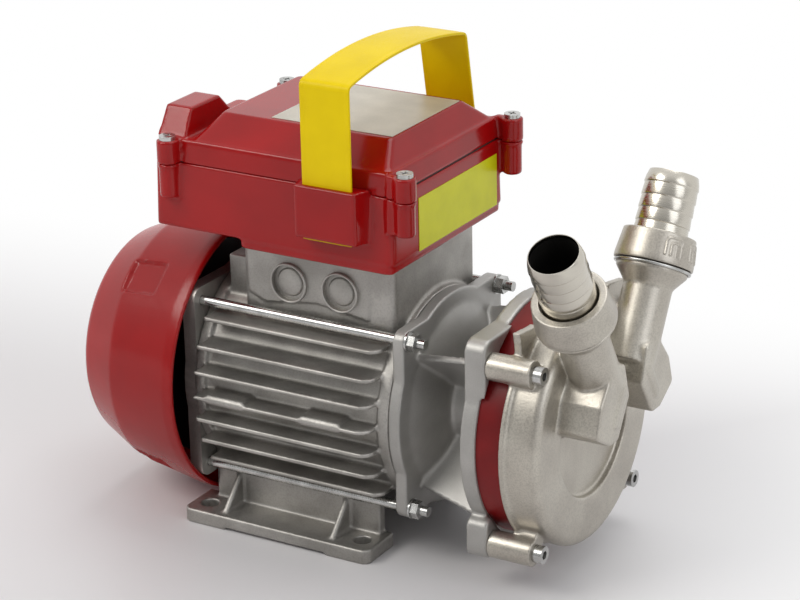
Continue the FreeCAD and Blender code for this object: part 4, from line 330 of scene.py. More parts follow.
def make_finishes(colours):
    """All finishes, each with the CAD nodes that wear it."""
    nickel = (colours.nickel, colours.nickel_shade)
    bright = (colours.bright_nickel, colours.nickel)
    zinc = (colours.zinc, linear("a8a8a6"))
    plate = {"rough": (0.16, 0.30), "patch": 9, "grain": 0.35, "relief": 0.006, "edge": 0.2, "Metallic": 1.0}
    red = (colours.red, colours.red_shade)
    return [
        # Die-cast aluminium, left as it came from the die: mid grey, sandy and dull, with pale edges that are
        # partly rubbed wear and partly a painted highlight
        (make_finish("die_cast_aluminium_barrel", colours.barrel, colours.barrel_shade, (0.42, 0.58),
                     patch=22, grain=0.9, relief=0.08, rub_and_highlight=0.55, speckle=0.2, Metallic=0.85),
         ["motor_housing", "rear_end_shield"]),
        # The same casting blasted with fine shot: smoother than the barrel, and evenly pale
        (make_finish("die_cast_aluminium_blasted", colours.adapter, colours.adapter_shade,
                     (0.38, 0.50), patch=26, grain=0.6, relief=0.04, rub_and_highlight=0.2, speckle=0.1,
                     Metallic=0.6),
         ["front_adapter"]),
        # Nickel plate over a sand-like cast skin: warm silver with a tight sparkle and a broad soft shine
        (make_finish("satin_nickel_plated_casting", *nickel, (0.30, 0.44), patch=22, grain=0.8,
                     relief=0.045, rub_and_highlight=0.15, speckle=0.2, Metallic=0.8),
         ["pump_body", "near_ring_nut", "far_ring_nut", "near_nut_clip"]),
        # Bright nickel on turned brass: mirror bands broken by tool rings, and duller on the far tail
        (make_finish("bright_nickel_turned_near", *bright, (0.12, 0.20), patch=9, grain=0.5,
                     relief=0.002, along=NEAR_AXIS, Metallic=1.0),
         ["near_hose_tail"]),
        (make_finish("bright_nickel_turned_far", *bright, (0.18, 0.30), patch=9, grain=0.5,
                     relief=0.004, along=FAR_AXIS, Metallic=1.0),
         ["far_hose_tail"]),
        # Painted shade inside the tails' bores: near black, so that hardly any light comes back out of them
        (make_finish("oil_darkened_brass_bore", linear("1c1a17"), linear("100f0d"), (0.45, 0.60),
                     patch=14, grain=0.8, relief=0.02, edge=0.2, Metallic=0.3),
         []),
        # Zinc plate: colder and brighter than the castings, so the small fasteners stand out
        (make_finish("zinc_plated_steel_rod", *zinc, along=SHAFT_AXIS, **plate),
         ["tie_rods", "tie_rod_nuts", "tie_rod_washers", "pump_screws", "preload_washer"]),
        (make_finish("zinc_plated_steel_upright", *zinc, along=UPRIGHT, **plate),
         ["lid_screws", "box_screws", "far_nut_clip"]),
        # Glossy red moulding: deep even colour under a clear reflection, glossier on the box
        (make_finish("red_abs_moulding_cover", *red, (0.20, 0.27), patch=45, grain=1.4, relief=0.006,
                     Specular_IOR_Level=0.35),
         ["fan_cover"]),
        (make_finish("red_abs_moulding_box", *red, (0.12, 0.18), patch=40, grain=1.4, relief=0.006,
                     Specular_IOR_Level=0.35),
         ["terminal_box_base", "terminal_box_lid"]),
        # Oven paint on steel plate: a darker red than the mouldings, and satin
        (make_finish("deep_red_painted_plate", colours.seal_red, linear("6b0508"), (0.34, 0.44),
                     patch=20, grain=0.9, relief=0.02, edge=0.3, Specular_IOR_Level=0.3),
         ["seal_plate"]),
        # Extruded polyurethane band: strong yellow with a soft waxy sheen
        (make_finish("yellow_polyurethane_band", colours.band_yellow, linear("e6c703"), (0.34, 0.46),
                     patch=30, grain=1.0, relief=0.02, edge=0.3, Specular_IOR_Level=0.15),
         ["carrying_strap"]),
        # Metallised polyester film: pale warm silver with the slight ripple of an adhesive label
        (make_finish("silver_polyester_film", colours.label_silver, linear("bdb7aa"), (0.30, 0.42),
                     patch=14, grain=0.9, relief=0.01, edge=0.1, Metallic=0.2),
         ["rating_label"]),
        # Printed polyester film: clear yellow and slightly glossy
        (make_finish("yellow_polyester_film", colours.label_yellow, linear("d6d614"), (0.30, 0.40),
                     patch=14, grain=0.9, relief=0.01, edge=0.1, Specular_IOR_Level=0.3),
         ["side_label"]),
        # Glass-filled nylon: near black with a fine matt skin
        (make_finish("black_nylon_moulding", colours.black, linear("0e0f10"), (0.36, 0.46), patch=30,
                     grain=0.6, relief=0.02, edge=0.3),
         ["switch_frame", "switch_rocker", "cable_gland", "gland_locknut", "cooling_fan", "terminal_block"]),
        # Moulded rubber: black and matt, so seals read as soft
        (make_finish("nitrile_rubber", linear("111111"), linear("080808"), (0.58, 0.70), patch=16,
                     grain=0.7, relief=0.03, edge=0.2),
         ["slinger", "lid_gasket", "near_port_gasket", "far_port_gasket", "seal_bellows", "casing_o_ring"]),
        # Drawn aluminium can with a grey sleeve: plain and slightly glossy
        (make_finish("grey_capacitor_can", linear("8f9194"), linear("85878a"), (0.32, 0.40), patch=30,
                     grain=0.9, relief=0.01, edge=0.4),
         ["capacitor"]),
        # Ground bearing steel: fine bright rings
        (make_finish("ground_shaft_steel", linear("a8aaad"), linear("8e9093"), (0.14, 0.28), patch=9,
                     grain=0.25, relief=0.004, edge=0.15, along=SHAFT_AXIS, Metallic=1.0),
         ["motor_shaft", "impeller_key", "seal_head", "front_bearing_outer", "front_bearing_inner",
          "rear_bearing_outer", "rear_bearing_inner"]),
        # Stamped sheets in a stack: dark with sharp lines square to the shaft
        (make_finish("stacked_core_laminations", linear("5a5a5c"), linear("3f3f41"), (0.40, 0.55),
                     patch=12, grain=0.5, relief=0.06, edge=0.2, along=SHAFT_AXIS, Metallic=0.9),
         ["stator_core", "rotor_core"]),
        # Copper wire under brown varnish: coarse and warm, with a wet shine
        (make_finish("varnished_copper_winding", linear("9a4a20"), linear("6f3013"), (0.30, 0.44),
                     patch=8, grain=0.9, relief=0.2, edge=0.5, Metallic=0.8),
         ["stator_windings"]),
        # Machined brass: warm yellow, fine tool marks
        (make_finish("machined_brass_impeller", linear("c29a4c"), linear("a67f38"), (0.24, 0.38),
                     patch=12, grain=0.4, relief=0.01, edge=0.3, Metallic=1.0),
         ["impeller"]),
        # Lapped ceramic: cream white and very smooth
        (make_finish("lapped_ceramic_seat", linear("e2dfd6"), linear("d6d2c8"), (0.10, 0.16),
                     patch=20, grain=0.8, relief=0.003, edge=0.2),
         ["seal_seat"]),
    ]


# Surfaces

def put(name, data):
    """An object of this name in the scene, at the origin, that shows a mesh, a lamp or a camera."""
    item = bpy.data.objects.new(name, data)
    bpy.context.scene.collection.objects.link(item)
    return item


def smooth_mesh(name, points, faces):
    """A smooth-shaded mesh of an array of points in metres and rows of corner indices."""
    mesh = bpy.data.meshes.new(name)
    mesh.from_pydata(points.reshape(-1, 3).tolist(), [], faces)
    mesh.validate()
    mesh.update()
    mesh.polygons.foreach_set("use_smooth", np.ones(len(mesh.polygons), dtype=bool))
    return mesh


def merge(mesh, *others):
    """Adds the other meshes to a mesh and merges points that lie on each other."""
    shape = bmesh.new()
    for part in (mesh, *others):
        shape.from_mesh(part)
    bmesh.ops.remove_doubles(shape, verts=shape.verts, dist=MERGE_DISTANCE)
    shape.to_mesh(mesh)
    shape.free()


def new_piece(name, points, faces, finishes, body, replaced=None, wear=None):
    """A piece from points in metres and rows of corner indices, riding on a body.

    finishes are the names of its finishes, and wear gives each face's place in that list.
    """
    mesh = smooth_mesh(name, points, faces)
    for finish in finishes:
        mesh.materials.append(bpy.data.materials[finish])
    if wear is not None:
        mesh.polygons.foreach_set("material_index", np.asarray(wear, dtype=np.int32))
    merge(mesh)
    mesh.set_sharp_from_angle(angle=SHARP_ANGLE)
    piece = put(name, mesh)
    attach(piece, body)
    if replaced:
        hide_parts(replaced)


def grid_faces(rows, columns, closed_rows=False, closed_columns=False):
    """Quads of a rows by columns grid, wrapped where closed."""
    row_count = rows if closed_rows else rows - 1
    column_count = columns if closed_columns else columns - 1
    row, column = np.meshgrid(np.arange(row_count), np.arange(column_count), indexing="ij")
    next_row, next_column = (row + 1) % rows, (column + 1) % columns
    corners = [row * columns + column, row * columns + next_column,
               next_row * columns + next_column, next_row * columns + column]
    return np.stack([corner.ravel() for corner in corners], axis=1).tolist()


def lathe(profile, segments):
    """Points (r cos a, r sin a, s) of a profile of (r, s) turned about Z at equal angles a."""
    profile = np.asarray(profile, dtype=float)
    turn = np.linspace(0, 2 * np.pi, segments, endpoint=False)
    radius, height = profile[:, 0][:, None], profile[:, 1][:, None]
    return np.stack([radius * np.cos(turn), radius * np.sin(turn), height + 0 * turn], axis=2)


def refined(profile, step):
    """Closed profile with points added so that none is further than step from the next."""
    points = []
    for start, end in zip(profile, np.roll(profile, -1, axis=0)):
        count = max(1, math.ceil(np.linalg.norm(end - start) / step))
        points += [start + (end - start) * part / count for part in range(count)]
    return np.array(points)


def rounded(profile, radius, steps=4, most=0.45):
    """Closed profile whose corners are replaced by quadratic curves.

    A curve starts radius from its corner, or at the share most of a side that is too short for that.
    """
    profile = np.asarray(profile, dtype=float)
    points = []
    for index, corner in enumerate(profile):
        back, ahead = profile[index - 1] - corner, profile[(index + 1) % len(profile)] - corner
        start = corner + back * min(radius / np.linalg.norm(back), most)
        end = corner + ahead * min(radius / np.linalg.norm(ahead), most)
        for part in np.linspace(0, 1, steps):
            points.append((1 - part) ** 2 * start + 2 * part * (1 - part) * corner + part ** 2 * end)
    return np.array(points)


def to_port(points, axis):
    """Moves points in millimetres from a port's own axes, Z up the port, to the row's frame in metres."""
    turn = Matrix.Rotation(math.atan2(-axis.y, axis.z), 3, "X")
    return np.asarray(points) * MM @ np.array(turn).T + np.array(PORT_PLACE)


# Castings and mouldings

def soften(node, grid, finish, passes, fill=0, hold=None, press=None, plugs=(), flat_angle=0.0):
    """Copy of a CAD node of the frame as one skin with rounded corners and filled roots.

    The copy and the plugs, which are closed meshes, are merged, remeshed on cubes of the grid's size and
    eased, see ease. press moves the skin's points, in millimetres. With flat_angle, faces that turn by less
    are joined at the end. Then the flattest places are thinned to MOST_TRIANGLES.
    """
    mesh = frame["nodes"][node].data.copy()
    merge(mesh, *plugs)
    mesh.materials.clear()
    mesh.materials.append(bpy.data.materials[finish])
    piece = put(f"{node}_skin", mesh)
    remesh = piece.modifiers.new("skin", "REMESH")
    remesh.mode = "VOXEL"
    remesh.voxel_size = grid * MM
    remesh.adaptivity = 0.0
    remesh.use_smooth_shade = True
    settle(piece)
    ease(piece.data, passes, fill, hold)
    if press:
        place = np.zeros(len(piece.data.vertices) * 3)
        piece.data.vertices.foreach_get("co", place)
        piece.data.vertices.foreach_set("co", (press(place.reshape(-1, 3) / MM) * MM).ravel())
        piece.data.update()
    if flat_angle:
        join = piece.modifiers.new("join", "DECIMATE")
        join.decimate_type = "DISSOLVE"
        join.angle_limit = flat_angle
        settle(piece)
    triangles = sum(len(face.vertices) - 2 for face in piece.data.polygons)
    if triangles > MOST_TRIANGLES:
        thin = piece.modifiers.new("thin", "DECIMATE")
        thin.ratio = MOST_TRIANGLES / triangles
        settle(piece)
    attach(piece, "frame")
    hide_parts(node)


def settle(piece):
    """Makes what a piece's modifiers give its own mesh."""
    worked = piece.evaluated_get(bpy.context.evaluated_depsgraph_get())
    mesh = bpy.data.meshes.new_from_object(worked)
    mesh.name = piece.name
    piece.modifiers.clear()
    piece.data = mesh


def ease(mesh, passes, fill, hold=None, update=5):
    """Rounds a dense mesh, then fills its inner corners.

    In each pass a vertex moves half way to the mean of its neighbours. In the fill passes only the part of
    that move along the outward normal counts, and only outwards, so outer corners stay. The normals are
    worked out anew at every fifth fill pass, or as update says. hold gives each vertex's share of the move,
    0 to 1, from its place in millimetres.
    """
    count = len(mesh.vertices)
    ends = np.zeros(len(mesh.edges) * 2, dtype=np.int32)
    mesh.edges.foreach_get("vertices", ends)
    first, second = ends[0::2], ends[1::2]
    neighbours = np.bincount(first, minlength=count) + np.bincount(second, minlength=count)
    neighbours = np.maximum(neighbours, 1)[:, None]
    place = np.zeros(count * 3)
    mesh.vertices.foreach_get("co", place)
    place = place.reshape(-1, 3)
    share = 1.0 if hold is None else hold(place / MM)[:, None]
    normal = np.zeros(count * 3)
    for step in range(passes + fill):
        total = np.stack([np.bincount(first, place[second, axis], count)
                          + np.bincount(second, place[first, axis], count) for axis in range(3)], axis=1)
        move = total / neighbours - place
        if step >= passes:
            if (step - passes) % update == 0:
                mesh.vertices.foreach_set("co", place.ravel())
                mesh.update()
                mesh.vertices.foreach_get("normal", normal)
            out = normal.reshape(-1, 3)
            move = out * np.clip((move * out).sum(axis=1, keepdims=True), 0, None)
        place += 0.5 * share * move
    mesh.vertices.foreach_set("co", place.ravel())
    mesh.update()


def duct_plug(axis, columns=48):
    """Turned plug whose wide end closes a port's duct where the duct comes nearest to the casting's wall.

    The narrow end goes down the duct. A fine hole runs along the plug, so that it has no poles.
    """
    hole, narrow, wide = 0.5, 7.2, 8.2
    bottom, narrow_top, wide_bottom, top = 28.0, 30.0, 33.7, 42.0
    profile = [(hole, bottom), (narrow, bottom), (narrow, narrow_top), (wide, wide_bottom), (wide, top),
               (hole, top)]
    return smooth_mesh("duct_plug", to_port(lathe(profile, columns), axis),
                       grid_faces(len(profile), columns, closed_rows=True, closed_columns=True))


def press_knockouts(place, inset=0.8):
    """Pedestal skin pressed in under each knock-out cup: there the side's distance is at most the seat's."""
    cups = bpy.context.scene.pump_knockouts
    seat = cups.face - cups.depth - cups.floor
    for middle in (cups.first_x, cups.second_x):
        under = np.hypot(place[:, 0] - middle, place[:, 2] - cups.height) < cups.radius - inset
        place[under, 1] = np.clip(place[under, 1], -seat, seat)
    return place


def box_joint(place, tight=0.64, fade=1.6):
    """Share of the move: 0 up to tight from the joint between lid and base, and 1 from tight + fade on."""
    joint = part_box("terminal_box_base")[1][2] / MM
    return np.clip((np.abs(place[:, 2] - joint) - tight) / fade, 0, 1)


# Fine pieces

def strap_line(sizes, step=0.75, arch_points=60):
    """Middle line of the strap in (y, z), evenly spaced, in millimetres.

    It runs up the near leg, over the parabola z = line of the folds + 4 * rise * t * (1 - t), and down the
    far leg past its bend. Each point is then the mean of those within the fold radius along the line.
    """
    part = np.linspace(0, 1, arch_points)[:, None]
    near, far = np.array([-sizes.near_y, sizes.near_fold_z]), np.array([sizes.far_fold_y, sizes.far_fold_z])
    arch = near + (far - near) * part + np.array([0, 4 * sizes.rise]) * part * (1 - part)
    corners = np.vstack([[-sizes.near_y, sizes.end_z], arch, [sizes.far_y, sizes.bend_z],
                         [sizes.far_y, sizes.end_z]])
    travel = np.concatenate([[0], np.cumsum(np.linalg.norm(np.diff(corners, axis=0), axis=1))])
    even = np.linspace(0, travel[-1], int(travel[-1] / step) + 1)
    line = np.stack([np.interp(even, travel, corners[:, axis]) for axis in (0, 1)], axis=1)
    reach = max(1, round(sizes.fold_radius / step))
    ahead = np.arange(1, reach + 1)[:, None]
    first, last = line[0] - line[1], line[-1] - line[-2]
    padded = np.vstack([line[0] + first * ahead[::-1], line, line[-1] + last * ahead])
    window = np.ones(2 * reach + 1) / (2 * reach + 1)
    return np.stack([np.convolve(padded[:, axis], window, "valid") for axis in (0, 1)], axis=1)


def build_strap(sizes, around=56, groove_place=0.8, groove_width=0.5, bead_length=1.2):
    """Carries a rounded band section along the strap's line.

    Point = line + across * x + normal * offset. Across is half the width times the cube root of cos a, and
    offset is half the thickness, less two grooves, times the fifth root of sin a. A groove's depth falls off
    as a bell curve from its place, a share of the half width. At the ends a bead adds to half the thickness,
    and it falls off with the fourth power of the distance from the end.
    """
    low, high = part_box("carrying_strap")
    middle, half = (low[0] + high[0]) / 2 / MM, (high[0] - low[0]) / 2 / MM
    line = strap_line(sizes)
    tangent = np.gradient(line, axis=0)
    tangent /= np.linalg.norm(tangent, axis=1)[:, None]
    normal = np.stack([-tangent[:, 1], tangent[:, 0]], axis=1)
    turn = np.linspace(0, 2 * np.pi, around, endpoint=False)
    across = half * np.sign(np.cos(turn)) * np.abs(np.cos(turn)) ** (1 / 3)
    groove = sizes.groove * np.exp(-((np.abs(across) - half * groove_place) / groove_width) ** 2)
    bulge = np.sign(np.sin(turn)) * np.abs(np.sin(turn)) ** (1 / 5)
    travel = np.concatenate([[0], np.cumsum(np.linalg.norm(np.diff(line, axis=0), axis=1))])
    to_end = np.minimum(travel, travel[-1] - travel)
    bead = sizes.bead * np.clip(1 - (to_end / bead_length) ** 4, 0, 1)
    offset = (sizes.thickness / 2 + bead[:, None] - groove) * bulge
    points = np.stack([middle + across + 0 * offset, line[:, :1] + normal[:, :1] * offset,
                       line[:, 1:] + normal[:, 1:] * offset], axis=2) * MM
    ring = np.arange(around)
    faces = grid_faces(len(line), around, closed_columns=True)
    faces += [ring[::-1].tolist(), (ring + (len(line) - 1) * around).tolist()]
    new_piece("carrying_strap_band", points, faces, ["yellow_polyurethane_band"], "frame", "carrying_strap")


def build_knockout(name, middle, side, cups, columns=64):
    """A knock-out as a turned cup with a low domed disc on its floor.

    side is -1 near the camera and 1 behind. The profile of (radius, distance from the middle plane) is
    turned about the cup's own axis, square to the pedestal's side. The cup is sunk into the pedestal.
    """
    sunk, corner, chamfer = 0.6, 0.4, 0.3
    disc_foot, disc_bevel, disc_edge, disc_shoulder, disc_top = 0.5, 0.6, 0.7, 1.1, 1.3
    bore = cups.radius - cups.wall
    floor = cups.face - cups.depth
    back = floor - cups.floor - sunk
    profile = [(0, back), (cups.radius, back), (cups.radius, cups.face - corner),
               (cups.radius - corner, cups.face), (bore + chamfer, cups.face), (bore, cups.face - chamfer),
               (bore, floor), (cups.disc + disc_foot, floor), (cups.disc, floor + disc_edge),
               (cups.disc - disc_bevel, floor + disc_shoulder), (0, floor + disc_top)]
    cup = lathe(profile, columns)
    points = np.stack([middle - side * cup[..., 0], side * cup[..., 2], cups.height + cup[..., 1]], axis=2)
    new_piece(name, points * MM, grid_faces(len(profile), columns, closed_columns=True),
              ["die_cast_aluminium_barrel"], "frame")


def build_tail(name, axis, sizes):
    """A hose tail as a closed profile of (radius, distance from the shaft) turned about its port.

    Over the flange and a plain collar, each barb steps up to its radius and slopes back to the root along
    its pitch. The nose narrows in a straight line to a rolled mouth. The bore is bright only at the mouth,
    and further in it wears painted shade.
    """
    step, corner, blunt, roll, chamfer, bright = 0.4, 0.3, 0.08, 0.2, 0.15, 2.0
    first = sizes.mouth - sizes.barbs * sizes.pitch
    tip = sizes.root - sizes.taper
    profile = [(sizes.bore, sizes.seat), (sizes.flange, sizes.seat), (sizes.flange, sizes.flange_top),
               (sizes.barb, sizes.flange_top), (sizes.barb, first + corner)]
    for barb in range(1, sizes.barbs):
        foot = first + barb * sizes.pitch
        profile += [(sizes.root, foot - step), (sizes.barb - blunt, foot), (sizes.barb, foot + corner)]
    profile += [(sizes.root, sizes.mouth - sizes.nose), (tip, sizes.mouth - roll),
                (tip - chamfer, sizes.mouth), (sizes.bore + chamfer, sizes.mouth),
                (sizes.bore, sizes.mouth - corner), (sizes.bore, sizes.mouth - bright)]
    rows, columns = len(profile), sizes.segments
    # The bore's faces past its bright mouth, which get the painted shade
    dark = np.repeat(np.arange(rows) == rows - 1, columns)
    new_piece(f"{name}_hose_tail_turned", to_port(lathe(profile, columns), axis),
              grid_faces(rows, columns, closed_rows=True, closed_columns=True),
              [f"bright_nickel_turned_{name}", "oil_darkened_brass_bore"], "frame", f"{name}_hose_tail", dark)


def build_nut(name, axis, sizes, segments, marks):
    """A ring nut as a closed profile, turned about its port, with rounded corners and two grip marks.

    marks is the angle of the first mark. Each mark is two ridges, one within the other, each along an arch:
    two upright legs, joined by half of a superellipse of exponent 4. Radius = profile radius + rise *
    (1 - (distance from the arch / ridge) squared), never less than the profile's own.
    """
    rounding, step, depth = 0.7, 0.4, 0.4
    profile = rounded([(sizes.bore, sizes.bottom), (sizes.foot_radius, sizes.bottom),
                       (sizes.foot_radius, sizes.shoulder), (sizes.rim_radius, sizes.top),
                       (sizes.recess, sizes.top), (sizes.recess, sizes.recess_floor),
                       (sizes.lip, sizes.recess_floor), (sizes.lip, sizes.lip_bottom),
                       (sizes.bore, sizes.lip_bottom)], rounding)
    profile = refined(profile, step)
    columns = segments * 2
    ring = lathe(profile, columns)
    radius, height = profile[:, 0][:, None], profile[:, 1][:, None]
    place = np.linspace(0, 2 * np.pi, columns, endpoint=False)
    middles = np.array([marks, marks + sizes.mark_pitch])[:, None]
    turn = np.abs((place - middles + np.pi) % (2 * np.pi) - np.pi).min(axis=0)
    aside = turn * sizes.rim_radius
    above = height - sizes.shoulder - sizes.mark_start
    crown = np.clip(above - (sizes.mark_height - sizes.mark_outer), 0, None)
    width = (aside ** 4 + crown ** 4) ** 0.25
    below = np.clip(above, None, 0)
    away = np.minimum(np.hypot(width - sizes.mark_outer, below), np.hypot(width - sizes.mark_inner, below))
    outside = radius > sizes.rim_radius - depth
    rise = sizes.mark_rise * np.clip(1 - (away / sizes.mark_ridge) ** 2, 0, 1) * outside
    ring[..., :2] *= (1 + rise / radius)[..., None]
    new_piece(f"{name}_ring_nut_cast", to_port(ring, axis),
              grid_faces(len(profile), columns, closed_rows=True, closed_columns=True),
              ["satin_nickel_plated_casting"], f"{name}_nut", f"{name}_ring_nut")


# Stage

def build_floor(settings, rows=25, columns=81, bend=0.45):
    """A pale sweep that curves up far behind: z = (distance past the bend) squared / (2 * reach).

    The bend starts at a share of the reach.
    """
    reach = settings.floor_reach
    grid_x, grid_y = np.meshgrid(np.linspace(-reach, reach, rows), np.linspace(-reach, reach, columns),
                                 indexing="ij")
    past = np.clip(grid_y - reach * bend, 0, None)
    points = np.stack([grid_x, grid_y, past ** 2 / (2 * reach)], axis=-1)
    mesh = smooth_mesh("studio_floor", points, grid_faces(rows, columns))
    mesh.materials.append(paper_sweep(settings.floor))
    put("studio_floor", mesh)


def seen_ray(tree):
    """Socket that is 1 for rays by which the eye sees the background: camera, glossy or transmission."""
    path = add_node(tree, "LightPath")
    shiny = add_node(tree, "Math", {0: path.outputs["Is Camera Ray"], 1: path.outputs["Is Glossy Ray"]},
                     operation="MAXIMUM")
    clear = add_node(tree, "Math", {0: shiny.outputs[0], 1: path.outputs["Is Transmission Ray"]},
                     operation="MAXIMUM")
    return clear.outputs[0]


def paper_sweep(tone):
    """Matt paper that takes the pump's shadow, and that fades to pure white away from the pump.

    The fade grows smoothly with the largest of three distances in metres: backwards, sideways, and from
    the middle less clear. It counts for rays by which the eye sees the paper.
    """
    fibre_size, roughness = 600, 0.45
    backwards, sideways, clear = (-0.1, 1, 0), (0.8, 0.3, 0), 0.45
    start, full = 0.06, 0.34
    material, tree, shader = new_tree("matt_paper_sweep")
    where = add_node(tree, "TexCoord").outputs["Object"]
    fibre = add_node(tree, "TexNoise", {"Vector": where, "Scale": per_mm(fibre_size), "Detail": 2.0})
    shade = add_node(tree, "Mix", {SHARE: fibre.outputs["Fac"], FIRST: tone, SECOND: linear("dddbdc")},
                     data_type="RGBA")
    tree.links.new(shade.outputs[MIXED], shader.inputs["Base Color"])
    shader.inputs["Roughness"].default_value = roughness
    behind = add_node(tree, "VectorMath", {0: where, 1: backwards}, operation="DOT_PRODUCT")
    aside = add_node(tree, "VectorMath", {0: where, 1: sideways}, operation="DOT_PRODUCT")
    away = add_node(tree, "VectorMath", {0: where}, operation="LENGTH")
    beyond = add_node(tree, "Math", {0: away.outputs["Value"], 1: clear}, operation="SUBTRACT")
    depth = add_node(tree, "Math", {0: behind.outputs["Value"], 1: aside.outputs["Value"]},
                     operation="MAXIMUM")
    depth = add_node(tree, "Math", {0: depth.outputs[0], 1: beyond.outputs[0]}, operation="MAXIMUM")
    distance = add_node(tree, "MapRange", {"Value": depth.outputs[0], "From Min": start, "From Max": full},
                        interpolation_type="SMOOTHSTEP")
    fade = add_node(tree, "Math", {0: distance.outputs["Result"], 1: seen_ray(tree)}, operation="MULTIPLY")
    white = add_node(tree, "Emission", {"Strength": 1.0})
    blend = add_node(tree, "MixShader", {0: fade.outputs[0], 1: shader.outputs[0], 2: white.outputs[0]})
    output = next(item for item in tree.nodes if item.bl_idname == "ShaderNodeOutputMaterial")
    tree.links.new(blend.outputs[0], output.inputs["Surface"])
    return material


def add_area(name, place, size, energy, tint):
    """A soft rectangular light that looks from place to the middle of the pump, in metres and watts."""
    data = bpy.data.lights.new(name, "AREA")
    data.shape = "RECTANGLE"
    data.size, data.size_y = size
    data.energy = energy
    data.color = linear(tint)[:3]
    light = put(name, data)
    light.location = place
    light.rotation_euler = (PUMP_MIDDLE - Vector(place)).to_track_quat("-Z", "Y").to_euler()


def build_lights(settings):
    """A big soft key from the upper left, a fill from the right, a top light and pale surroundings.

    The surroundings light all sides alike. The camera sees them white, and reflections show them white
    behind and above, and dim in front and below.
    """
    backwards_up, dim_end, white_end, dim = (-0.25, 0.75, 0.6), -0.65, 0.25, 0.3
    add_area("key_light", (-0.9, -1.1, 1.5), (1.1, 0.8), settings.key_power, "fffdf8")
    add_area("fill_light", (1.5, -0.4, 0.9), (0.9, 1.1), settings.fill_power, "f6f9ff")
    add_area("top_light", (0.1, 0.5, 1.6), (1.2, 0.9), settings.top_power, "ffffff")
    world = bpy.data.worlds.new("pale_surroundings")
    bpy.context.scene.world = world
    world.use_nodes = True
    tree = world.node_tree
    tree.nodes.clear()
    lighting = add_node(tree, "Background", {"Color": linear("f4f5f8"), "Strength": settings.world_power})
    way = add_node(tree, "TexCoord").outputs["Generated"]
    behind = add_node(tree, "VectorMath", {0: way, 1: backwards_up}, operation="DOT_PRODUCT")
    shade = add_node(tree, "MapRange", {"Value": behind.outputs["Value"], "From Min": dim_end,
                                        "From Max": white_end, "To Min": dim})
    eye = add_node(tree, "LightPath").outputs["Is Camera Ray"]
    level = add_node(tree, "Math", {0: shade.outputs["Result"], 1: eye}, operation="MAXIMUM")
    seen = add_node(tree, "Background", {"Color": linear("ffffff"), "Strength": level.outputs[0]})
    blend = add_node(tree, "MixShader", {0: seen_ray(tree), 1: lighting.outputs[0], 2: seen.outputs[0]})
    add_node(tree, "OutputWorld", {"Surface": blend.outputs[0]})


def build_camera(settings, sensor_width=36, nearest=0.05, furthest=50):
    """The camera that the photograph was fitted with."""
    azimuth, elevation, roll = settings.camera_turn
    back = Vector((math.sin(azimuth) * math.cos(elevation), -math.cos(azimuth) * math.cos(elevation),
                   math.sin(elevation)))
    right = Vector((math.cos(azimuth), math.sin(azimuth), 0))
    up = back.cross(right)
    x_axis = right * math.cos(roll) + up * math.sin(roll)
    y_axis = up * math.cos(roll) - right * math.sin(roll)
    data = bpy.data.cameras.new("photo_camera")
    data.lens = settings.lens
    data.sensor_width = sensor_width
    data.clip_start, data.clip_end = nearest, furthest
    camera = put("photo_camera", data)
    turn = Matrix((x_axis, y_axis, back)).transposed()
    camera.matrix_world = Matrix.Translation(Vector(settings.camera_place)) @ turn.to_4x4()
    bpy.context.scene.camera = camera
    bpy.context.scene.view_settings.view_transform = "Standard"


# Operators

class PUMP_OT_finishes(bpy.types.Operator):
    """Gives every CAD node its own procedural finish"""

    bl_idname = "pump.finishes"
    bl_label = "Finishes"

    def execute(self, context):
        bare = dict(frame["nodes"])
        for material, names in make_finishes(context.scene.pump_finishes):
            for name in names:
                slots = bare.pop(name).data.materials
                slots.clear()
                slots.append(material)
        if bare:
            raise RuntimeError(f"no finish for {sorted(bare)}")
        return {"FINISHED"}


class PUMP_OT_castings(bpy.types.Operator):
    """Rounds the corners and fills the roots of the castings"""

    bl_idname = "pump.castings"
    bl_label = "Castings"

    def execute(self, context):
        skin = context.scene.pump_skins
        passes, fill = skin.casting_passes, skin.fill_passes
        soften("pump_body", skin.fine_grid, "satin_nickel_plated_casting", passes, fill,
               plugs=[duct_plug(axis) for axis in (NEAR_AXIS, FAR_AXIS)])
        soften("front_adapter", skin.coarse_grid, "die_cast_aluminium_blasted", passes, fill)
        soften("motor_housing", skin.coarse_grid, "die_cast_aluminium_barrel", passes,
               press=press_knockouts, flat_angle=skin.flat_angle)
        return {"FINISHED"}


class PUMP_OT_knockouts(bpy.types.Operator):
    """Sets the knock-out cups into the sides of the pedestal"""

    bl_idname = "pump.knockouts"
    bl_label = "Knock-outs"

    def execute(self, context):
        cups = context.scene.pump_knockouts
        for place, side in (("near", -1), ("far", 1)):
            build_knockout(f"{place}_knockout_rear", cups.first_x, side, cups)
            build_knockout(f"{place}_knockout_front", cups.second_x, side, cups)
        return {"FINISHED"}


class PUMP_OT_mouldings(bpy.types.Operator):
    """Rounds the corners of the red mouldings"""

    bl_idname = "pump.mouldings"
    bl_label = "Mouldings"

    def execute(self, context):
        skin = context.scene.pump_skins
        passes = skin.moulding_passes
        soften("terminal_box_base", skin.coarse_grid, "red_abs_moulding_box", passes, hold=box_joint)
        soften("terminal_box_lid", skin.grid, "red_abs_moulding_box", passes, hold=box_joint)
        soften("fan_cover", skin.coarse_grid, "red_abs_moulding_cover", passes)
        return {"FINISHED"}


class PUMP_OT_strap(bpy.types.Operator):
    """Replaces the plain strap with a band that bends over its folds"""

    bl_idname = "pump.strap"
    bl_label = "Carrying strap"

    def execute(self, context):
        build_strap(context.scene.pump_strap)
        return {"FINISHED"}


class PUMP_OT_tails(bpy.types.Operator):
    """Replaces the hose tails with finely turned ones"""

    bl_idname = "pump.tails"
    bl_label = "Hose tails"

    def execute(self, context):
        for name, axis in (("near", NEAR_AXIS), ("far", FAR_AXIS)):
            build_tail(name, axis, context.scene.pump_tails)
        return {"FINISHED"}


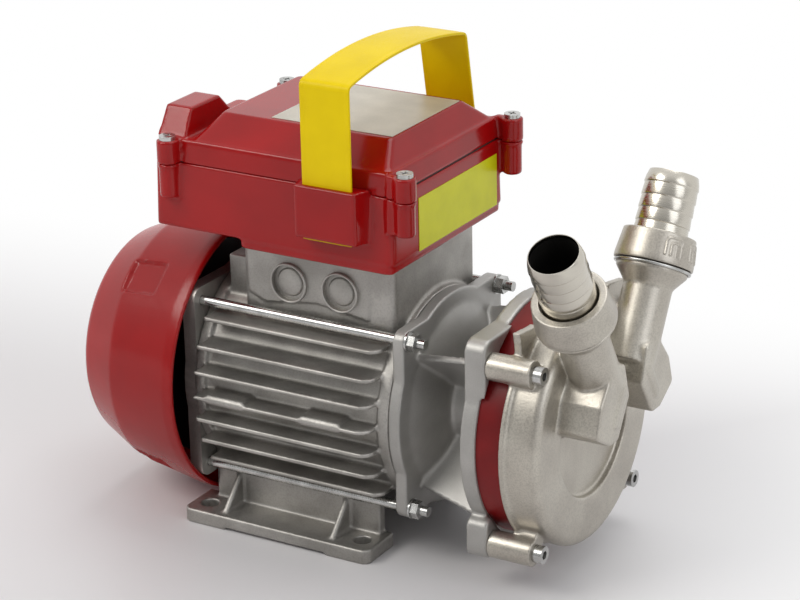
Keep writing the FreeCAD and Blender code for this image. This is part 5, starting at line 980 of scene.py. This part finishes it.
class PUMP_OT_nuts(bpy.types.Operator):
    """Replaces the ring nuts with cast ones that carry grip marks"""

    bl_idname = "pump.nuts"
    bl_label = "Ring nuts"

    def execute(self, context):
        sizes = context.scene.pump_nuts
        for name, axis, marks in (("near", NEAR_AXIS, sizes.near_marks), ("far", FAR_AXIS, sizes.far_marks)):
            build_nut(name, axis, sizes, context.scene.pump_tails.segments, marks)
        return {"FINISHED"}


class PUMP_OT_stage(bpy.types.Operator):
    """Builds the floor, the lights and the camera"""

    bl_idname = "pump.stage"
    bl_label = "Stage"

    def execute(self, context):
        settings = context.scene.pump_stage
        build_floor(settings)
        build_lights(settings)
        build_camera(settings)
        return {"FINISHED"}


# Registration

OPERATORS = (PUMP_OT_finishes, PUMP_OT_castings, PUMP_OT_knockouts, PUMP_OT_mouldings, PUMP_OT_strap,
             PUMP_OT_tails, PUMP_OT_nuts, PUMP_OT_stage)
GROUPS = {"pump_finishes": FinishSettings, "pump_skins": SkinSettings, "pump_knockouts": KnockoutSettings,
          "pump_strap": StrapSettings, "pump_tails": TailSettings, "pump_nuts": NutSettings,
          "pump_stage": StageSettings}


class PUMP_PT_panel(bpy.types.Panel):
    """Settings and steps of the pump's visual model"""

    bl_label = "Oil transfer pump"
    bl_idname = "PUMP_PT_panel"
    bl_space_type = "VIEW_3D"
    bl_region_type = "UI"
    bl_category = "Pump"

    def draw(self, context):
        for name, group in GROUPS.items():
            box = self.layout.box()
            for setting in group.__annotations__:
                box.prop(getattr(context.scene, name), setting)
        for operator in OPERATORS:
            self.layout.operator(operator.bl_idname)


def register():
    """Registers the settings, the steps and the panel."""
    for item in (*GROUPS.values(), *OPERATORS, PUMP_PT_panel):
        bpy.utils.register_class(item)
    for name, group in GROUPS.items():
        setattr(bpy.types.Scene, name, PointerProperty(type=group))


def unregister():
    """Takes away what register adds."""
    for name in GROUPS:
        delattr(bpy.types.Scene, name)
    for item in (PUMP_PT_panel, *reversed(OPERATORS), *reversed(tuple(GROUPS.values()))):
        bpy.utils.unregister_class(item)


def main():
    register()
    bpy.ops.pump.finishes()
    bpy.ops.pump.castings()
    bpy.ops.pump.knockouts()
    bpy.ops.pump.mouldings()
    bpy.ops.pump.strap()
    bpy.ops.pump.tails()
    bpy.ops.pump.nuts()
    bpy.ops.pump.stage()


if __name__ == "__main__":
    main()
